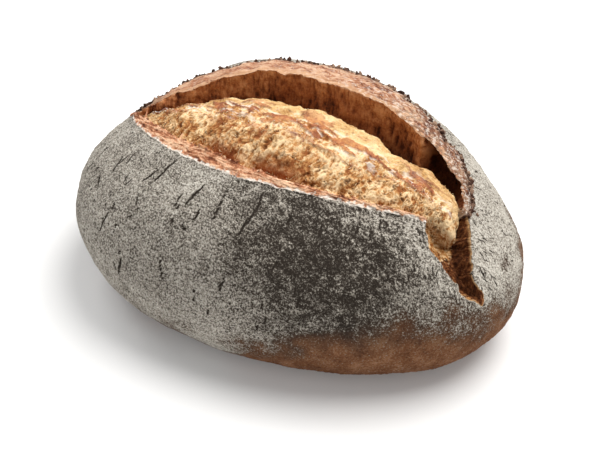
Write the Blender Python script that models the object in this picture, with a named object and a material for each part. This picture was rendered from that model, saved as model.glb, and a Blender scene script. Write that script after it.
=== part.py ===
"""A rye loaf in one piece: a floured crust over a rounded base, burst open along its top.

The skin is built as closed rings. They run out over the flat base, up round the belly
to the torn rim, then down into the opening and up over the risen crumb to its seam.
"""

import math

import bpy
import numpy as np

# The loaf: X runs along it to its cracked end, Y across it to the high ear, Z up.
HALF_LENGTH = 0.120
HALF_WIDTH = 0.0950
HEIGHT = 0.1006
EGG = 0.213  # how much narrower the cracked end is
ROUNDNESS = 2.085  # power of the oval seen from above
DOME_POWER = 1.910
BELLY_SHARE = 0.374  # height of the widest ring, as a share of HEIGHT
BASE_SHARE = 0.753  # size of the flat base, as a share of the widest ring
LEAN = (-0.0023, -0.0050)  # how far the top stands off the base along X and Y

# Where the dome sags: (along, across, reach along, reach across) in shares of HALF_LENGTH,
# then the depth in metres.
SAGS = ((-0.98, 0.10, 0.30, 0.42, 0.0090), (0.64, 0.36, 0.36, 0.28, 0.0042))

# The opening's inner edges seen from above, as (along, across) in shares of HALF_LENGTH.
OPENING_MIDDLE = 0.015
OPENING_REACH = 0.785
EAR_LIP = (
    (-0.770, -0.204), (-0.66, -0.175), (-0.58, -0.095), (-0.50, -0.010), (-0.39, 0.110),
    (-0.30, 0.175), (-0.18, 0.215), (-0.05, 0.222), (0.06, 0.238), (0.16, 0.270),
    (0.25, 0.293), (0.34, 0.287), (0.42, 0.256), (0.52, 0.222), (0.62, 0.166),
    (0.70, 0.106), (0.75, 0.050), (0.800, -0.050),
)
FRONT_LIP = (
    (-0.770, -0.204), (-0.70, -0.246), (-0.60, -0.292), (-0.43, -0.352), (-0.255, -0.385),
    (-0.12, -0.389), (0.03, -0.379), (0.16, -0.355), (0.265, -0.328), (0.41, -0.272),
    (0.55, -0.199), (0.67, -0.120), (0.735, -0.084), (0.800, -0.050),
)
SEAM = (
    (-0.70, -0.200), (-0.60, -0.172), (-0.45, -0.158), (-0.35, -0.130), (-0.20, -0.100),
    (-0.05, -0.090), (0.10, -0.060), (0.29, -0.070), (0.44, -0.044), (0.60, -0.008),
    (0.74, 0.004),
)
SEAM_SHARE = 0.91

# The torn bands outside those edges: (along, width) and (along, lift above the dome) in mm.
MM = 0.001
FRONT_BAND = (
    (-0.77, 1.2), (-0.60, 4.6), (-0.25, 6.0), (0.03, 4.9), (0.27, 2.7), (0.55, 2.1), (0.80, 1.4),
)
EAR_BAND = (
    (-0.77, 0.8), (-0.66, 6.0), (-0.58, 18), (-0.50, 27), (-0.39, 33), (-0.25, 35.5),
    (-0.05, 35), (0.06, 33), (0.16, 28), (0.25, 22), (0.34, 18), (0.42, 15.5),
    (0.53, 12), (0.60, 8), (0.66, 4.6), (0.75, 2.2), (0.80, 1.0),
)
EAR_LIP_LIFT = (
    (-0.77, 0.0), (-0.60, 1.0), (-0.45, 2.2), (-0.30, 3.0), (0.45, 3.0), (0.70, 2.0), (0.80, 0.0),
)
EAR_OUTER_LIFT = (
    (-0.77, 0.0), (-0.66, 0.9), (-0.55, 0.9), (-0.42, -0.4), (-0.28, -1.2), (-0.15, 0.0),
    (0.00, 2.2), (0.14, 3.4), (0.30, 2.4), (0.50, 1.4), (0.66, 0.8), (0.80, 0.0),
)
FRONT_LIFT = 0.9
EAR_CROWN = 0.0008
RIM_JAG = 0.0008
RIM_JAG_WAVES = (17, 29, 41)

# The ear is two lobes: the second starts further back, over a deeper undercut.
LOBE_PLACE = 0.430
LOBE_SOFTNESS = 0.020
LOBE_STEP = 0.0040
LOBE_UNDERCUT = 0.15

# The inside of the opening from rim to seam: share of the way in, and drop from the dome.
FRONT_PROFILE = (
    (0.030, 0.0010),
    (0.070, 0.0026),
    (0.120, 0.0044),
    (0.180, 0.0054),
    (0.250, 0.0040),
    (0.350, 0.0016),
    (0.500, 0.0002),
    (0.740, -0.0005),
    (1.000, -0.0002),
)
EAR_PROFILE = (
    (-0.015, 0.0010),
    (-0.005, 0.0085),
    (0.050, 0.0185),
    (0.140, 0.0240),
    (0.270, 0.0215),
    (0.400, 0.0115),
    (0.520, 0.0042),
    (0.740, 0.0006),
    (1.000, -0.0002),
)
FRONT_SHALLOW = (0.10, 0.40, 0.55)  # from, to, and the share of the drop that is left
CRUMB_FILL = (0.42, 0.74, 0.50)  # from, to, and how much the crumb fills the groove's width

# The hollows under the front edge of the crumb: place, half length and depth.
HOLLOWS = ((-0.155, 0.075, 0.0056), (0.105, 0.085, 0.0064))
HOLLOW_PLACE = (4.2, 1.0)

# The crack down the end, in shares of HALF_LENGTH, then its sizes in metres.
CRACK_LINE = ((0.735, -0.015), (0.796, -0.100), (0.846, -0.124), (0.908, -0.148), (0.955, -0.122))
CRACK_HALF_WIDTHS = (0.0095, 0.0100, 0.0078, 0.0044, 0.0012)
CRACK_DEPTH = 0.0140
CRACK_PUSH = (0.75, 0.66)  # how far the cut goes back along X and down along Z
CRACK_LOWEST = 0.8  # share of the belly's height that it stops at
END_DROP = (0.72, 0.80, 0.0080)  # from, to, and how far the opening's end drops into the crack

# Where the groove and the crumb change along the loaf, in shares of HALF_LENGTH.
GROOVE_START = (-0.68, -0.45)
GROOVE_SHALLOW = 0.30
GROOVE_END = (0.58, 0.72, 0.28)  # from, to, and the share of the depth left beyond
CRUMB_RISE = (-0.60, 0.20)
CRUMB_LEFT_DROP = 0.0035

# Gentle unevenness of the crust and of the crumb, in metres.
CRUST_LUMP = 0.0011
LUMP_WAVES = (41, 88)  # in radians a metre
LUMP_SHARE = 0.6
CRUMB_LUMP = 0.0009
CRUMB_WAVES = (23, 31)

# Sine of the ring angle over which the ear and the two pointed ends blend in.
EAR_BLEND = (0.06, 0.46)
END_BLEND = (0.02, 0.35)

ANGLES = 144
END_DENSITY = 0.5  # how much closer together the angles are at the two ends
BASE_RINGS = 2
FOOT_RINGS = 6
CRUST_RINGS = 13


def ring_angles():
    even = np.arange(ANGLES) * 2 * math.pi / ANGLES
    return even - END_DENSITY / 2 * np.sin(2 * even)


def smooth(value, low, high):
    share = np.clip((value - low) / (high - low), 0, 1)
    return share * share * (3 - 2 * share)


def bump(value, middle, half):
    return np.exp(-(((value - middle) / half) ** 2))


def signed_power(value, power):
    return np.sign(value) * np.abs(value) ** power


def half_width_at(x):
    """Half width of the loaf at a place along it, which falls towards the cracked end."""
    return HALF_WIDTH * (1 - EGG * x / HALF_LENGTH)


def belly_outline(angle):
    x = HALF_LENGTH * signed_power(np.cos(angle), 2 / ROUNDNESS)
    y = half_width_at(x) * signed_power(np.sin(angle), 2 / ROUNDNESS)
    return x, y


def dome_height(x, y):
    """Height of the unbroken upper skin above a point of the base plane."""
    along = np.abs(x / HALF_LENGTH) ** ROUNDNESS
    across = np.abs(y / half_width_at(x)) ** ROUNDNESS
    reach = np.clip((along + across) ** (1 / ROUNDNESS), 0, 1)
    rise = np.sqrt(1 - reach**DOME_POWER)
    sag = np.zeros_like(rise)
    for middle_along, middle_across, reach_along, reach_across, depth in SAGS:
        off_along = (x / HALF_LENGTH - middle_along) / reach_along
        off_across = (y / HALF_LENGTH - middle_across) / reach_across
        sag = sag + depth * np.exp(-(off_along**2) - off_across**2)
    return HEIGHT * (BELLY_SHARE + (1 - BELLY_SHARE) * rise) - sag * smooth(rise, 0, 0.35)


def curve_through(table, place):
    """Smooth curve through a table of (place, value), held level outside its ends."""
    knots, values = np.array(table, float).T
    slopes = np.gradient(values, knots)
    place = np.clip(place, knots[0], knots[-1])
    k = np.clip(np.searchsorted(knots, place, side="right") - 1, 0, len(knots) - 2)
    width = knots[k + 1] - knots[k]
    t = (place - knots[k]) / width
    return (
        (2 * t**3 - 3 * t**2 + 1) * values[k]
        + (t**3 - 2 * t**2 + t) * width * slopes[k]
        + (3 * t**2 - 2 * t**3) * values[k + 1]
        + (t**3 - t**2) * width * slopes[k + 1]
    )


def mix(first, second, share):
    return first + (second - first) * share


def ear_weight(angle):
    """1 along the ear, 0 along the front rim, and a soft change at the two ends."""
    return smooth(np.sin(angle), *EAR_BLEND)


def end_fade(angle):
    return smooth(np.abs(np.sin(angle)), *END_BLEND)


def along_at(angle):
    return OPENING_MIDDLE + OPENING_REACH * np.cos(angle)


def second_lobe(angle):
    share = along_at(angle)
    started = smooth(share, LOBE_PLACE - LOBE_SOFTNESS, LOBE_PLACE + LOBE_SOFTNESS)
    return started * ear_weight(angle) * end_fade(angle)


def opening_outline(angle):
    share = along_at(angle)
    front, ear = curve_through(FRONT_LIP, share), curve_through(EAR_LIP, share)
    across = np.where(np.sin(angle) > 0, ear, front)
    return HALF_LENGTH * share, HALF_LENGTH * across + LOBE_STEP * second_lobe(angle)


def seam_line(angle):
    share = OPENING_MIDDLE + OPENING_REACH * SEAM_SHARE * np.cos(angle)
    return HALF_LENGTH * share, HALF_LENGTH * curve_through(SEAM, share) + 0.5 * MM * np.sin(angle)


def jag(angle, start):
    """Uneven wave along a torn edge, between about -1 and 1."""
    waves = [np.sin(n * angle + start * (k + 1)) for k, n in enumerate(RIM_JAG_WAVES)]
    return sum(waves) / len(waves)


def outward(angle):
    """Level direction that points away from the opening."""
    across = np.sin(angle) / HALF_WIDTH
    along = np.cos(angle) / HALF_LENGTH
    size = np.hypot(along, across)
    return along / size, across / size


def rim_lift(angle, share):
    """Height of the torn band above the dome."""
    along, ear = along_at(angle), ear_weight(angle)
    lip = MM * mix(FRONT_LIFT, curve_through(EAR_LIP_LIFT, along), ear) * end_fade(angle)
    outer = MM * curve_through(EAR_OUTER_LIFT, along) * ear
    return mix(outer, lip, share) + EAR_CROWN * ear * math.sin(math.pi * share)


def rim_ring(angle, share):
    """Ring of the torn band: share 0 is its outer edge, share 1 its inner edge."""
    along, ear = along_at(angle), ear_weight(angle)
    width = MM * mix(curve_through(FRONT_BAND, along), curve_through(EAR_BAND, along), ear)
    x, y = opening_outline(angle)
    out_x, out_y = outward(angle)
    torn = RIM_JAG * jag(angle, 0.7 + share)
    step = width * (1 - share) + torn
    x, y = x + out_x * step, y + out_y * step
    return x, y, dome_height(x, y) + rim_lift(angle, share) + torn * 0.5


def crust_lump(x, y, z):
    """Slow swell of the skin, so that no stretch of it is a true oval."""
    slow, quick = LUMP_WAVES
    first = np.sin(slow * x + 1.3) * np.cos(slow * (1.3 * y + 0.75 * z) - 0.4)
    second = np.sin(quick * (0.75 * y + 0.55 * z)) * np.cos(quick * x + 0.9)
    return CRUST_LUMP * (first + LUMP_SHARE * second)


def base_ring(angle, share):
    x, y = belly_outline(angle)
    return x * share * BASE_SHARE, y * share * BASE_SHARE, np.zeros_like(x)


def foot_ring(angle, turn):
    """Ring of the rounded lower edge: turn 0 is the flat base, a quarter turn the belly."""
    x, y = belly_outline(angle)
    share = BASE_SHARE + (1 - BASE_SHARE) * math.sin(turn)
    z = np.full_like(x, HEIGHT * BELLY_SHARE * (1 - math.cos(turn)))
    grown = 1 + crust_lump(x, y, z) / HALF_WIDTH * math.sin(turn) ** 2
    return x * share * grown, y * share * grown, z


def crust_ring(angle, share):
    """Ring of the upper skin: share 0 is the belly and share 1 the torn rim."""
    belly_x, belly_y = belly_outline(angle)
    rim_x, rim_y, rim_z = rim_ring(angle, 0.0)
    x = belly_x + (rim_x - belly_x) * share
    y = belly_y + (rim_y - belly_y) * share
    lift = (rim_z - dome_height(rim_x, rim_y)) * share**5
    z = dome_height(x, y) + lift
    lump = crust_lump(x, y, z)
    grown = 1 + lump / HALF_WIDTH * (1 - share)
    return x * grown, y * grown, z + lump * share * (1 - share)


def crack_cut(x, y, z, weight=1.0):
    """The skin moved in along the crack at the end."""
    line = np.array(CRACK_LINE) * HALF_LENGTH
    gap = np.full_like(x, 1.0)
    way = np.zeros_like(x)
    for k in range(len(line) - 1):
        run = line[k + 1] - line[k]
        t = ((x - line[k, 0]) * run[0] + (y - line[k, 1]) * run[1]) / (run @ run)
        t = np.clip(t, 0, 1)
        far = np.hypot(x - line[k, 0] - t * run[0], y - line[k, 1] - t * run[1])
        nearer = far < gap
        way = np.where(nearer, (k + t) / (len(line) - 1), way)
        gap = np.where(nearer, far, gap)
    places = np.linspace(0, 1, len(CRACK_HALF_WIDTHS))
    half = curve_through(list(zip(places, CRACK_HALF_WIDTHS)), way)
    inside = weight / (1 + (gap / half) ** 4)
    depth = CRACK_DEPTH * np.sqrt(np.clip(1 - way, 0, 1)) * inside
    depth = np.where(z > HEIGHT * BELLY_SHARE * CRACK_LOWEST, depth, 0)
    return x - CRACK_PUSH[0] * depth, y, z - CRACK_PUSH[1] * depth


def crumb_lump(angle, ring):
    waves = [np.sin(n * angle + 1.7 * ring + k) for k, n in enumerate(CRUMB_WAVES)]
    return CRUMB_LUMP * sum(waves) / len(waves)


def opening_ring(angle, ring):
    """Ring inside the opening, from the torn rim in to the seam of the crumb."""
    place = ring + 1
    front_in, front_drop = FRONT_PROFILE[ring]
    ear_in, ear_drop = EAR_PROFILE[ring]
    ear = ear_weight(angle)
    low, high, most = CRUMB_FILL
    filled = smooth(place, 3.0, 5.0) * (1 - smooth(place, 7, 9))
    ear_in = ear_in * (1 - most * smooth(along_at(angle), low, high) * filled)
    ear_in = ear_in - LOBE_UNDERCUT * second_lobe(angle) * bump(place, 2.4, 1.4)
    rim_x, rim_y, _ = rim_ring(angle, 1.0)
    seam_x, seam_y = seam_line(angle)
    share = mix(front_in, ear_in, ear)
    x, y = mix(rim_x, seam_x, share), mix(rim_y, seam_y, share)
    along = x / HALF_LENGTH
    low, high, shallow = FRONT_SHALLOW
    front_drop = front_drop * mix(1, shallow, smooth(along, low, high))
    drop = mix(front_drop, ear_drop, ear)
    hollow = sum(depth * bump(along, middle, half) for middle, half, depth in HOLLOWS)
    drop = drop + hollow * (1 - ear) * bump(place, *HOLLOW_PLACE)
    # The groove is shallow at both ends of the ear.
    deep = mix(GROOVE_SHALLOW, 1, smooth(along, *GROOVE_START))
    low, high, shallow = GROOVE_END
    deep = deep * mix(1, shallow, smooth(along, low, high) * ear)
    drop = np.where(drop > 0, drop * deep, drop)
    low, high, end_drop = END_DROP
    drop = drop + end_drop * smooth(along, low, high) * (1 - smooth(place, 7.0, 9.0) * 0.3)
    inner = smooth(share, 0, 0.4)
    drop = drop + CRUMB_LEFT_DROP * (1 - smooth(along, *CRUMB_RISE)) * inner
    lift = rim_lift(angle, 1.0) * (1 - smooth(place, 0.0, 2.5))
    lump = crumb_lump(angle, ring) * end_fade(angle) * inner
    skin = x, y, dome_height(x, y) - drop + lift + lump
    return crack_cut(*skin, weight=1 - smooth(place, 1.5, 6.0))


def all_rings():
    angle = ring_angles()
    rings = []
    for k in range(BASE_RINGS):
        rings.append(base_ring(angle, (k + 1) / BASE_RINGS))
    for k in range(1, FOOT_RINGS + 1):
        rings.append(foot_ring(angle, math.pi / 2 * k / FOOT_RINGS))
    for k in range(1, CRUST_RINGS):
        share = 1 - math.cos(math.pi / 2 * k / CRUST_RINGS)
        rings.append(crack_cut(*crust_ring(angle, share)))
    for share in (0.0, 0.5, 1.0):
        rings.append(crack_cut(*rim_ring(angle, share)))
    for ring in range(len(FRONT_PROFILE)):
        rings.append(opening_ring(angle, ring))
    return [np.stack(ring, axis=1) for ring in rings]


def seam_faces(start):
    """Faces that close the last ring along the seam, start being its first vertex."""
    half = ANGLES // 2
    faces = [(start, start + 1, start + ANGLES - 1)]
    for k in range(1, half - 1):
        far = ANGLES - k
        faces.append((start + k, start + k + 1, start + far - 1, start + far))
    faces.append((start + half - 1, start + half, start + half + 1))
    return faces


def loaf_mesh():
    rings = all_rings()
    points = np.concatenate([np.zeros((1, 3))] + rings)
    points[:, :2] += np.outer(points[:, 2] / HEIGHT, LEAN)
    middle = (points.min(axis=0) + points.max(axis=0)) / 2
    points[:, :2] -= middle[:2]
    faces = []
    for k in range(ANGLES):
        faces.append((0, 1 + (k + 1) % ANGLES, 1 + k))
    for ring in range(len(rings) - 1):
        low = 1 + ring * ANGLES
        high = low + ANGLES
        for k in range(ANGLES):
            after = (k + 1) % ANGLES
            faces.append((low + k, low + after, high + after, high + k))
    faces.extend(seam_faces(1 + (len(rings) - 1) * ANGLES))
    mesh = bpy.data.meshes.new("loaf")
    mesh.from_pydata(points.tolist(), [], faces)
    mesh.polygons.foreach_set("use_smooth", [True] * len(mesh.polygons))
    mesh.update()
    return mesh


def crust_material():
    material = bpy.data.materials.new("floured_crust")
    material.use_nodes = True
    shader = material.node_tree.nodes["Principled BSDF"]
    shader.inputs["Base Color"].default_value = (0.36, 0.27, 0.19, 1)
    shader.inputs["Roughness"].default_value = 0.85
    shader.inputs["Metallic"].default_value = 0.0
    return material


def main():
    for thing in list(bpy.data.objects):
        bpy.data.objects.remove(thing)
    mesh = loaf_mesh()
    mesh.materials.append(crust_material())
    loaf = bpy.data.objects.new("loaf", mesh)
    bpy.context.scene.collection.objects.link(loaf)


main()
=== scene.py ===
"""Looks of a rye loaf: floured crust, torn rim, raised ear and the risen crumb between them.

One skin is built as closed rings, from the middle of the flat base out to the belly, up to
the torn rim, then down into the opening and up over the crumb to its seam. Relief moves its
points, masks on the points steer the materials, and the skin is cut into pieces.
"""

import math

import bmesh
import bpy
import numpy as np
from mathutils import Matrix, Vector


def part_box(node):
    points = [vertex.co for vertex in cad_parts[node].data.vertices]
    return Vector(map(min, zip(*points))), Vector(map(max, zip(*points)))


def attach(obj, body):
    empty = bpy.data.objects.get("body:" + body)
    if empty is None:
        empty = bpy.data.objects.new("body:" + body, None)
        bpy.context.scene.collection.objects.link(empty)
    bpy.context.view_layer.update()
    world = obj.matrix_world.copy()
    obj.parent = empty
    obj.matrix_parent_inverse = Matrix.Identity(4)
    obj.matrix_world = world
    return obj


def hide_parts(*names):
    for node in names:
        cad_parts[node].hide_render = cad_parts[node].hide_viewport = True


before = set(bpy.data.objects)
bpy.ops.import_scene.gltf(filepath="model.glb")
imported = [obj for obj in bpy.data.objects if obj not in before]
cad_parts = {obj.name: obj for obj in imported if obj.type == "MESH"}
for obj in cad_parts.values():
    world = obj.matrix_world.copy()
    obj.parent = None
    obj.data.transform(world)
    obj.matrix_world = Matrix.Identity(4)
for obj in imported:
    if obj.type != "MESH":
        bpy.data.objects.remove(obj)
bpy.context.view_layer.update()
LOW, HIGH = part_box("loaf")

MM = 0.001

# The loaf: X runs along it to its cracked end, Y across it to the ear, Z up. In metres.
HALF_LENGTH = (HIGH.x - LOW.x) / 2
SCALE = HALF_LENGTH / 0.120
HALF_WIDTH = 0.0950 * SCALE
HEIGHT = 0.1006 * SCALE
LEAN = (-0.0023, -0.0050)
EGG = 0.213
ROUNDNESS = 2.085
DOME_POWER = 1.910
BELLY_SHARE = 0.374
BASE_SHARE = 0.753

# Where the dome sags: (along, across, reach along, reach across, depth).
SAGS = ((-0.98, 0.10, 0.30, 0.42, 0.0090), (0.64, 0.36, 0.36, 0.28, 0.0042))

# The opening runs from its left tip to its right tip. Its two torn edges and the risen crumb's
# seam between them are (along, across), in shares of HALF_LENGTH.
OPENING_MIDDLE = 0.015
OPENING_REACH = 0.785
EAR_LIP = (
    (-0.770, -0.204), (-0.66, -0.175), (-0.58, -0.095), (-0.50, -0.010), (-0.39, 0.110),
    (-0.30, 0.175), (-0.18, 0.215), (-0.05, 0.222), (0.06, 0.238), (0.16, 0.270),
    (0.25, 0.293), (0.34, 0.287), (0.42, 0.256), (0.52, 0.222), (0.62, 0.166),
    (0.70, 0.106), (0.75, 0.050), (0.800, -0.050),
)
FRONT_LIP = (
    (-0.770, -0.204), (-0.70, -0.246), (-0.60, -0.292), (-0.43, -0.352), (-0.255, -0.385),
    (-0.12, -0.389), (0.03, -0.379), (0.16, -0.355), (0.265, -0.328), (0.41, -0.272),
    (0.55, -0.199), (0.67, -0.120), (0.735, -0.084), (0.800, -0.050),
)
SEAM = (
    (-0.70, -0.200), (-0.60, -0.172), (-0.45, -0.158), (-0.35, -0.130), (-0.20, -0.100),
    (-0.05, -0.090), (0.10, -0.060), (0.29, -0.070), (0.44, -0.044), (0.60, -0.008),
    (0.74, 0.004),
)
SEAM_SHARE = 0.91
SEAM_WANDER = 0.010
SEAM_WAVES = 7
EAR_BLEND = (0.06, 0.46)
END_BLEND = (0.02, 0.35)

# The torn bands outside those edges: (along, width) and (along, lift above the dome) in mm.
FRONT_BAND = (
    (-0.77, 1.2), (-0.60, 4.6), (-0.25, 6.0), (0.03, 4.9), (0.27, 2.7), (0.55, 2.1), (0.80, 1.4),
)
EAR_BAND = (
    (-0.77, 0.8), (-0.66, 6.0), (-0.58, 18), (-0.50, 27), (-0.39, 33), (-0.25, 35.5),
    (-0.05, 35), (0.06, 33), (0.16, 28), (0.25, 22), (0.34, 18), (0.42, 15.5),
    (0.53, 12), (0.60, 8), (0.66, 4.6), (0.75, 2.2), (0.80, 1.0),
)
EAR_LIP_LIFT = (
    (-0.77, 0.0), (-0.60, 1.0), (-0.45, 2.2), (-0.30, 3.0), (0.45, 3.0), (0.70, 2.0), (0.80, 0.0),
)
EAR_OUTER_LIFT = (
    (-0.77, 0.0), (-0.66, 0.9), (-0.55, 0.9), (-0.42, -0.4), (-0.28, -1.2), (-0.15, 0.0),
    (0.00, 2.2), (0.14, 3.4), (0.30, 2.4), (0.50, 1.4), (0.66, 0.8), (0.80, 0.0),
)
FRONT_LIFT = 0.9
EAR_CROWN = 0.0008

# The lip of the ear waves in and out, and the band's outer edge is the more ragged one.
LIP_WAVE_DEPTH = 2.2 * MM
LIP_WAVE_LENGTH = 13 * MM
OUTER_RAGGED = 0.8
EDGE_LIFT = 0.5
TEAR_REACH = (0.86, 1.0)

# The ear is two lobes: the second starts further back, over a deeper undercut.
LOBE_PLACE = 0.430
LOBE_SOFTNESS = 0.008
LOBE_STEP = 0.0040
LOBE_UNDERCUT = 0.30
LOBE_CURL = 0.022

# Inside of the opening from rim to seam: share of the way in, and drop from the dome. A point's
# number in these profiles is called its place, from 0 at the rim to 9 at the seam.
FRONT_PROFILE = (
    (0, 0), (0.030, 0.0010), (0.070, 0.0026), (0.120, 0.0044), (0.180, 0.0054),
    (0.250, 0.0040), (0.350, 0.0016), (0.500, 0.0002), (0.740, -0.0005), (1, -0.0002),
)
EAR_PROFILE = (
    (0, 0), (-0.015, 0.0010), (-0.005, 0.0085), (0.050, 0.0185), (0.140, 0.0240),
    (0.270, 0.0215), (0.400, 0.0115), (0.520, 0.0042), (0.740, 0.0006), (1, -0.0002),
)
LAST_PLACE = len(EAR_PROFILE) - 1
FRONT_SHALLOW = (0.10, 0.40, 0.55)
HOLLOWS = ((-0.155, 0.075, 0.0056), (0.105, 0.085, 0.0064))
HOLLOW_PLACE = (4.2, 1.0)
CRUMB_FILL = (0.42, 0.74, 0.50)

# The ragged strip that stands up inside the near edge.
STRIP_REACH = (-0.36, 0.14)
STRIP_FADE = 0.1
STRIP_HEIGHT = 0.0026
STRIP_PLACE = (1.3, 0.70)
STRIP_RUFFLES = 30

# The crack down the end: its line, its half width along the line, and how it is pushed in.
CRACK_LINE = ((0.735, -0.015), (0.796, -0.100), (0.846, -0.124), (0.908, -0.148), (0.955, -0.122))
CRACK_HALF_WIDTHS = (0.0095, 0.0100, 0.0078, 0.0044, 0.0012)
CRACK_DEPTH = 0.0140
CRACK_PUSH = (0.75, 0.66)
CRACK_LOWEST = 0.8
CRACK_CLIFF = (-1.5 * MM, 0.6 * MM)
CRACK_SIDES = (0.70, 1.15)
CRACK_STREAK_WIDTH = 1.3 * MM
CRACK_STREAK_DEPTH = 0.9 * MM
END_DROP = (0.72, 0.80, 0.0080)

GROOVE_START = (-0.68, -0.45)
GROOVE_SHALLOW = 0.30
GROOVE_END = (0.58, 0.72, 0.28)
CRUMB_RISE = (-0.60, 0.20)
CRUMB_LEFT_DROP = 0.0035

# Waves of relief and tone: depth and length in mm, octaves, how rough, seed, and how much of
# each axis counts, a small share drawing the waves out along that axis.
EVEN = (1, 1, 1)
WAVES = {
    "torn_edge": (0.75, 9, 2, 0.5, 11, EVEN),
    "torn_teeth": (0.45, 2.4, 2, 0.6, 13, EVEN),
    "crack_edge": (0.80, 7, 3, 0.6, 23, EVEN),
    "crust_swell": (0.60, 26, 2, 0.5, 3, EVEN),
    "crust_folds": (0.24, 8, 2, 0.5, 41, EVEN),
    "crust_pimples": (0.17, 2.6, 2, 0.7, 57, EVEN),
    "crust_wrinkles": (0.17, 3.0, 2, 0.5, 61, EVEN),
    "torn_layers": (0.30, 3.0, 3, 0.65, 71, (0.16, 1, 0.3)),
    "torn_rough": (0.26, 1.5, 3, 0.7, 83, EVEN),
    "crumb_lumps": (1.35, 15, 2, 0.5, 101, EVEN),
    "crumb_bumps": (0.70, 5.5, 2, 0.5, 103, EVEN),
    "crumb_curl": (1.60, 6, 2, 0.5, 105, EVEN),
    "crumb_folds": (0.55, 4.2, 2, 0.6, 106, EVEN),
    "crumb_fibre": (0.28, 1.9, 2, 0.65, 107, EVEN),
    "crumb_warp": (1.10, 3.5, 2, 0.5, 113, EVEN),
    "wall_fibre": (0.34, 2.6, 3, 0.65, 151, (1, 0.5, 0.20)),
    "wall_lumps": (0.95, 8, 4, 0.6, 157, EVEN),
    "seam_flour": (1, 4, 4, 0.75, 171, (0.40, 1.1, 0)),
    "seam_amber": (1, 5, 4, 0.6, 181, (0.26, 1, 0)),
    "patch": (9, 18, 3, 0.5, 201, EVEN),
    # Streaks of flour that are partly painted raking highlights.
    "flour_streaks_and_raking_light": (1, 2.4, 3, 0.7, 205, (0.35, 1.0, 0.9)),
    "wander": (1.5, 2.5, 3, 0.7, 211, EVEN),
    "dust": (1, 2.2, 3, 0.7, 223, EVEN),
}
WRINKLE_TURN = np.array(((0.30, 0, 0.25), (0, 0.5, 0), (-0.35, 0, 0.9)))
WRINKLE_REACH = (0.0, 0.55)
CRUMB_TURN = np.array(((1, 0, 0), (0.25, 0.40, 0), (0, 0, 0.5)))

# The crumb's pores: size in mm, seed, where their walls run, depth, and rarest share kept.
PORES = ((4.6, 127, (0.06, 0.42), 1.0, 0.55), (2.2, 131, (0.08, 0.42), 0.9, 0.62))
PORE_DEPTH = 1.0 * MM

# The small dry cracks of the crust, in mm, shortest first, with what they shrink to at the end.
STROKES = 300
STROKE_LOWEST = 0.16
STROKE_LENGTHS = (2.5, 15.0)
STROKE_LONGEST_AT_END = 6.0
STROKE_HALF_WIDTHS = (0.19, 0.30)
STROKE_THIN_AT_END = 0.75
STROKE_LEAN = 0.22
STROKE_SWAY = 0.42 * 0.6 * MM
STROKE_KNOTS = 8
STROKE_END = (0.25, 0.6)
TINY = 1e-12

# How finely the skin is divided.
COLUMNS = 1360
FINENESS = 1.0
END_DENSITY = 0.3
BASE_ROWS = int(4 * FINENESS)
FOOT_ROWS = int(44 * FINENESS)
CRUST_ROWS = int(110 * FINENESS)
RIM_ROWS = int(40 * FINENESS)
OPENING_ROWS = [int(n * FINENESS) for n in (6, 10, 14, 14, 12, 12, 14, 18, 20)]

# Loose bits: how many of each, how far a lump tips, and how a strand is made.
EAR_CRUMBS = 800
RIM_FLAKES = 150
CRUMB_STRANDS = 1350
FLOUR_GRAINS = 520
LUMP_TIP = 0.35
STRAND_KNOTS = 7
STRAND_SIDES = 3
STRAND_SWIRL = 1.3
STRAND_KINK = 0.5


# ---------------------------------------------------------------- numbers and noise


def smooth(value, low, high):
    share = np.clip((value - low) / (high - low), 0, 1)
    return share * share * (3 - 2 * share)


def bump(value, middle, half):
    return np.exp(-(((value - middle) / half) ** 2))


def mix(first, second, share):
    return first + (second - first) * share


def signed_power(value, power):
    return np.sign(value) * np.abs(value) ** power


def unit(vectors):
    return vectors / (np.linalg.norm(vectors, axis=-1, keepdims=True) + TINY)


# Large odd numbers that scramble a place into a random-looking one, and the noise's gain.
AXIS_PRIMES = (73856093, 19349663, 83492791)
SEED_PRIME = 2654435761
LAST_PRIME = 1540483477
NOISE_GAIN = 1.4


def hashed(cell, seed):
    """A repeatable whole number for each whole-number point in space."""
    whole = cell.astype(np.int64).astype(np.uint32)
    mixed = np.uint32((seed * SEED_PRIME + 97) % 2**32)
    for axis, prime in enumerate(AXIS_PRIMES):
        mixed = mixed ^ (whole[..., axis] * np.uint32(prime))
    mixed = (mixed ^ (mixed >> np.uint32(13))) * np.uint32(LAST_PRIME)
    return mixed ^ (mixed >> np.uint32(15))


SLOPES = np.array(
    [(x, y, z) for x in (-1, 0, 1) for y in (-1, 0, 1) for z in (-1, 0, 1)
     if abs(x) + abs(y) + abs(z) == 2] * 2,
    float,
)[:16]


def noise(points, seed=0):
    """Gradient noise from about -1 to 1, with one wave to a unit of length."""
    cell = np.floor(points)
    part = points - cell
    ease = part**3 * (part * (part * 6 - 15) + 10)
    total = 0
    for corner in np.ndindex(2, 2, 2):
        corner = np.array(corner)
        slope = SLOPES[hashed(cell + corner, seed) & np.uint32(15)]
        value = ((part - corner) * slope).sum(axis=-1)
        weight = np.where(corner, ease, 1 - ease).prod(axis=-1)
        total = total + weight * value
    return total * NOISE_GAIN


def layered(points, size, octaves, seed=0, rough=0.5):
    """Several octaves of noise, the largest waves being size metres long."""
    total, strength = 0, 1.0
    for k in range(octaves):
        total = total + strength * noise(points / size * 2**k, seed + 31 * k)
        strength *= rough
    return total


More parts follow.
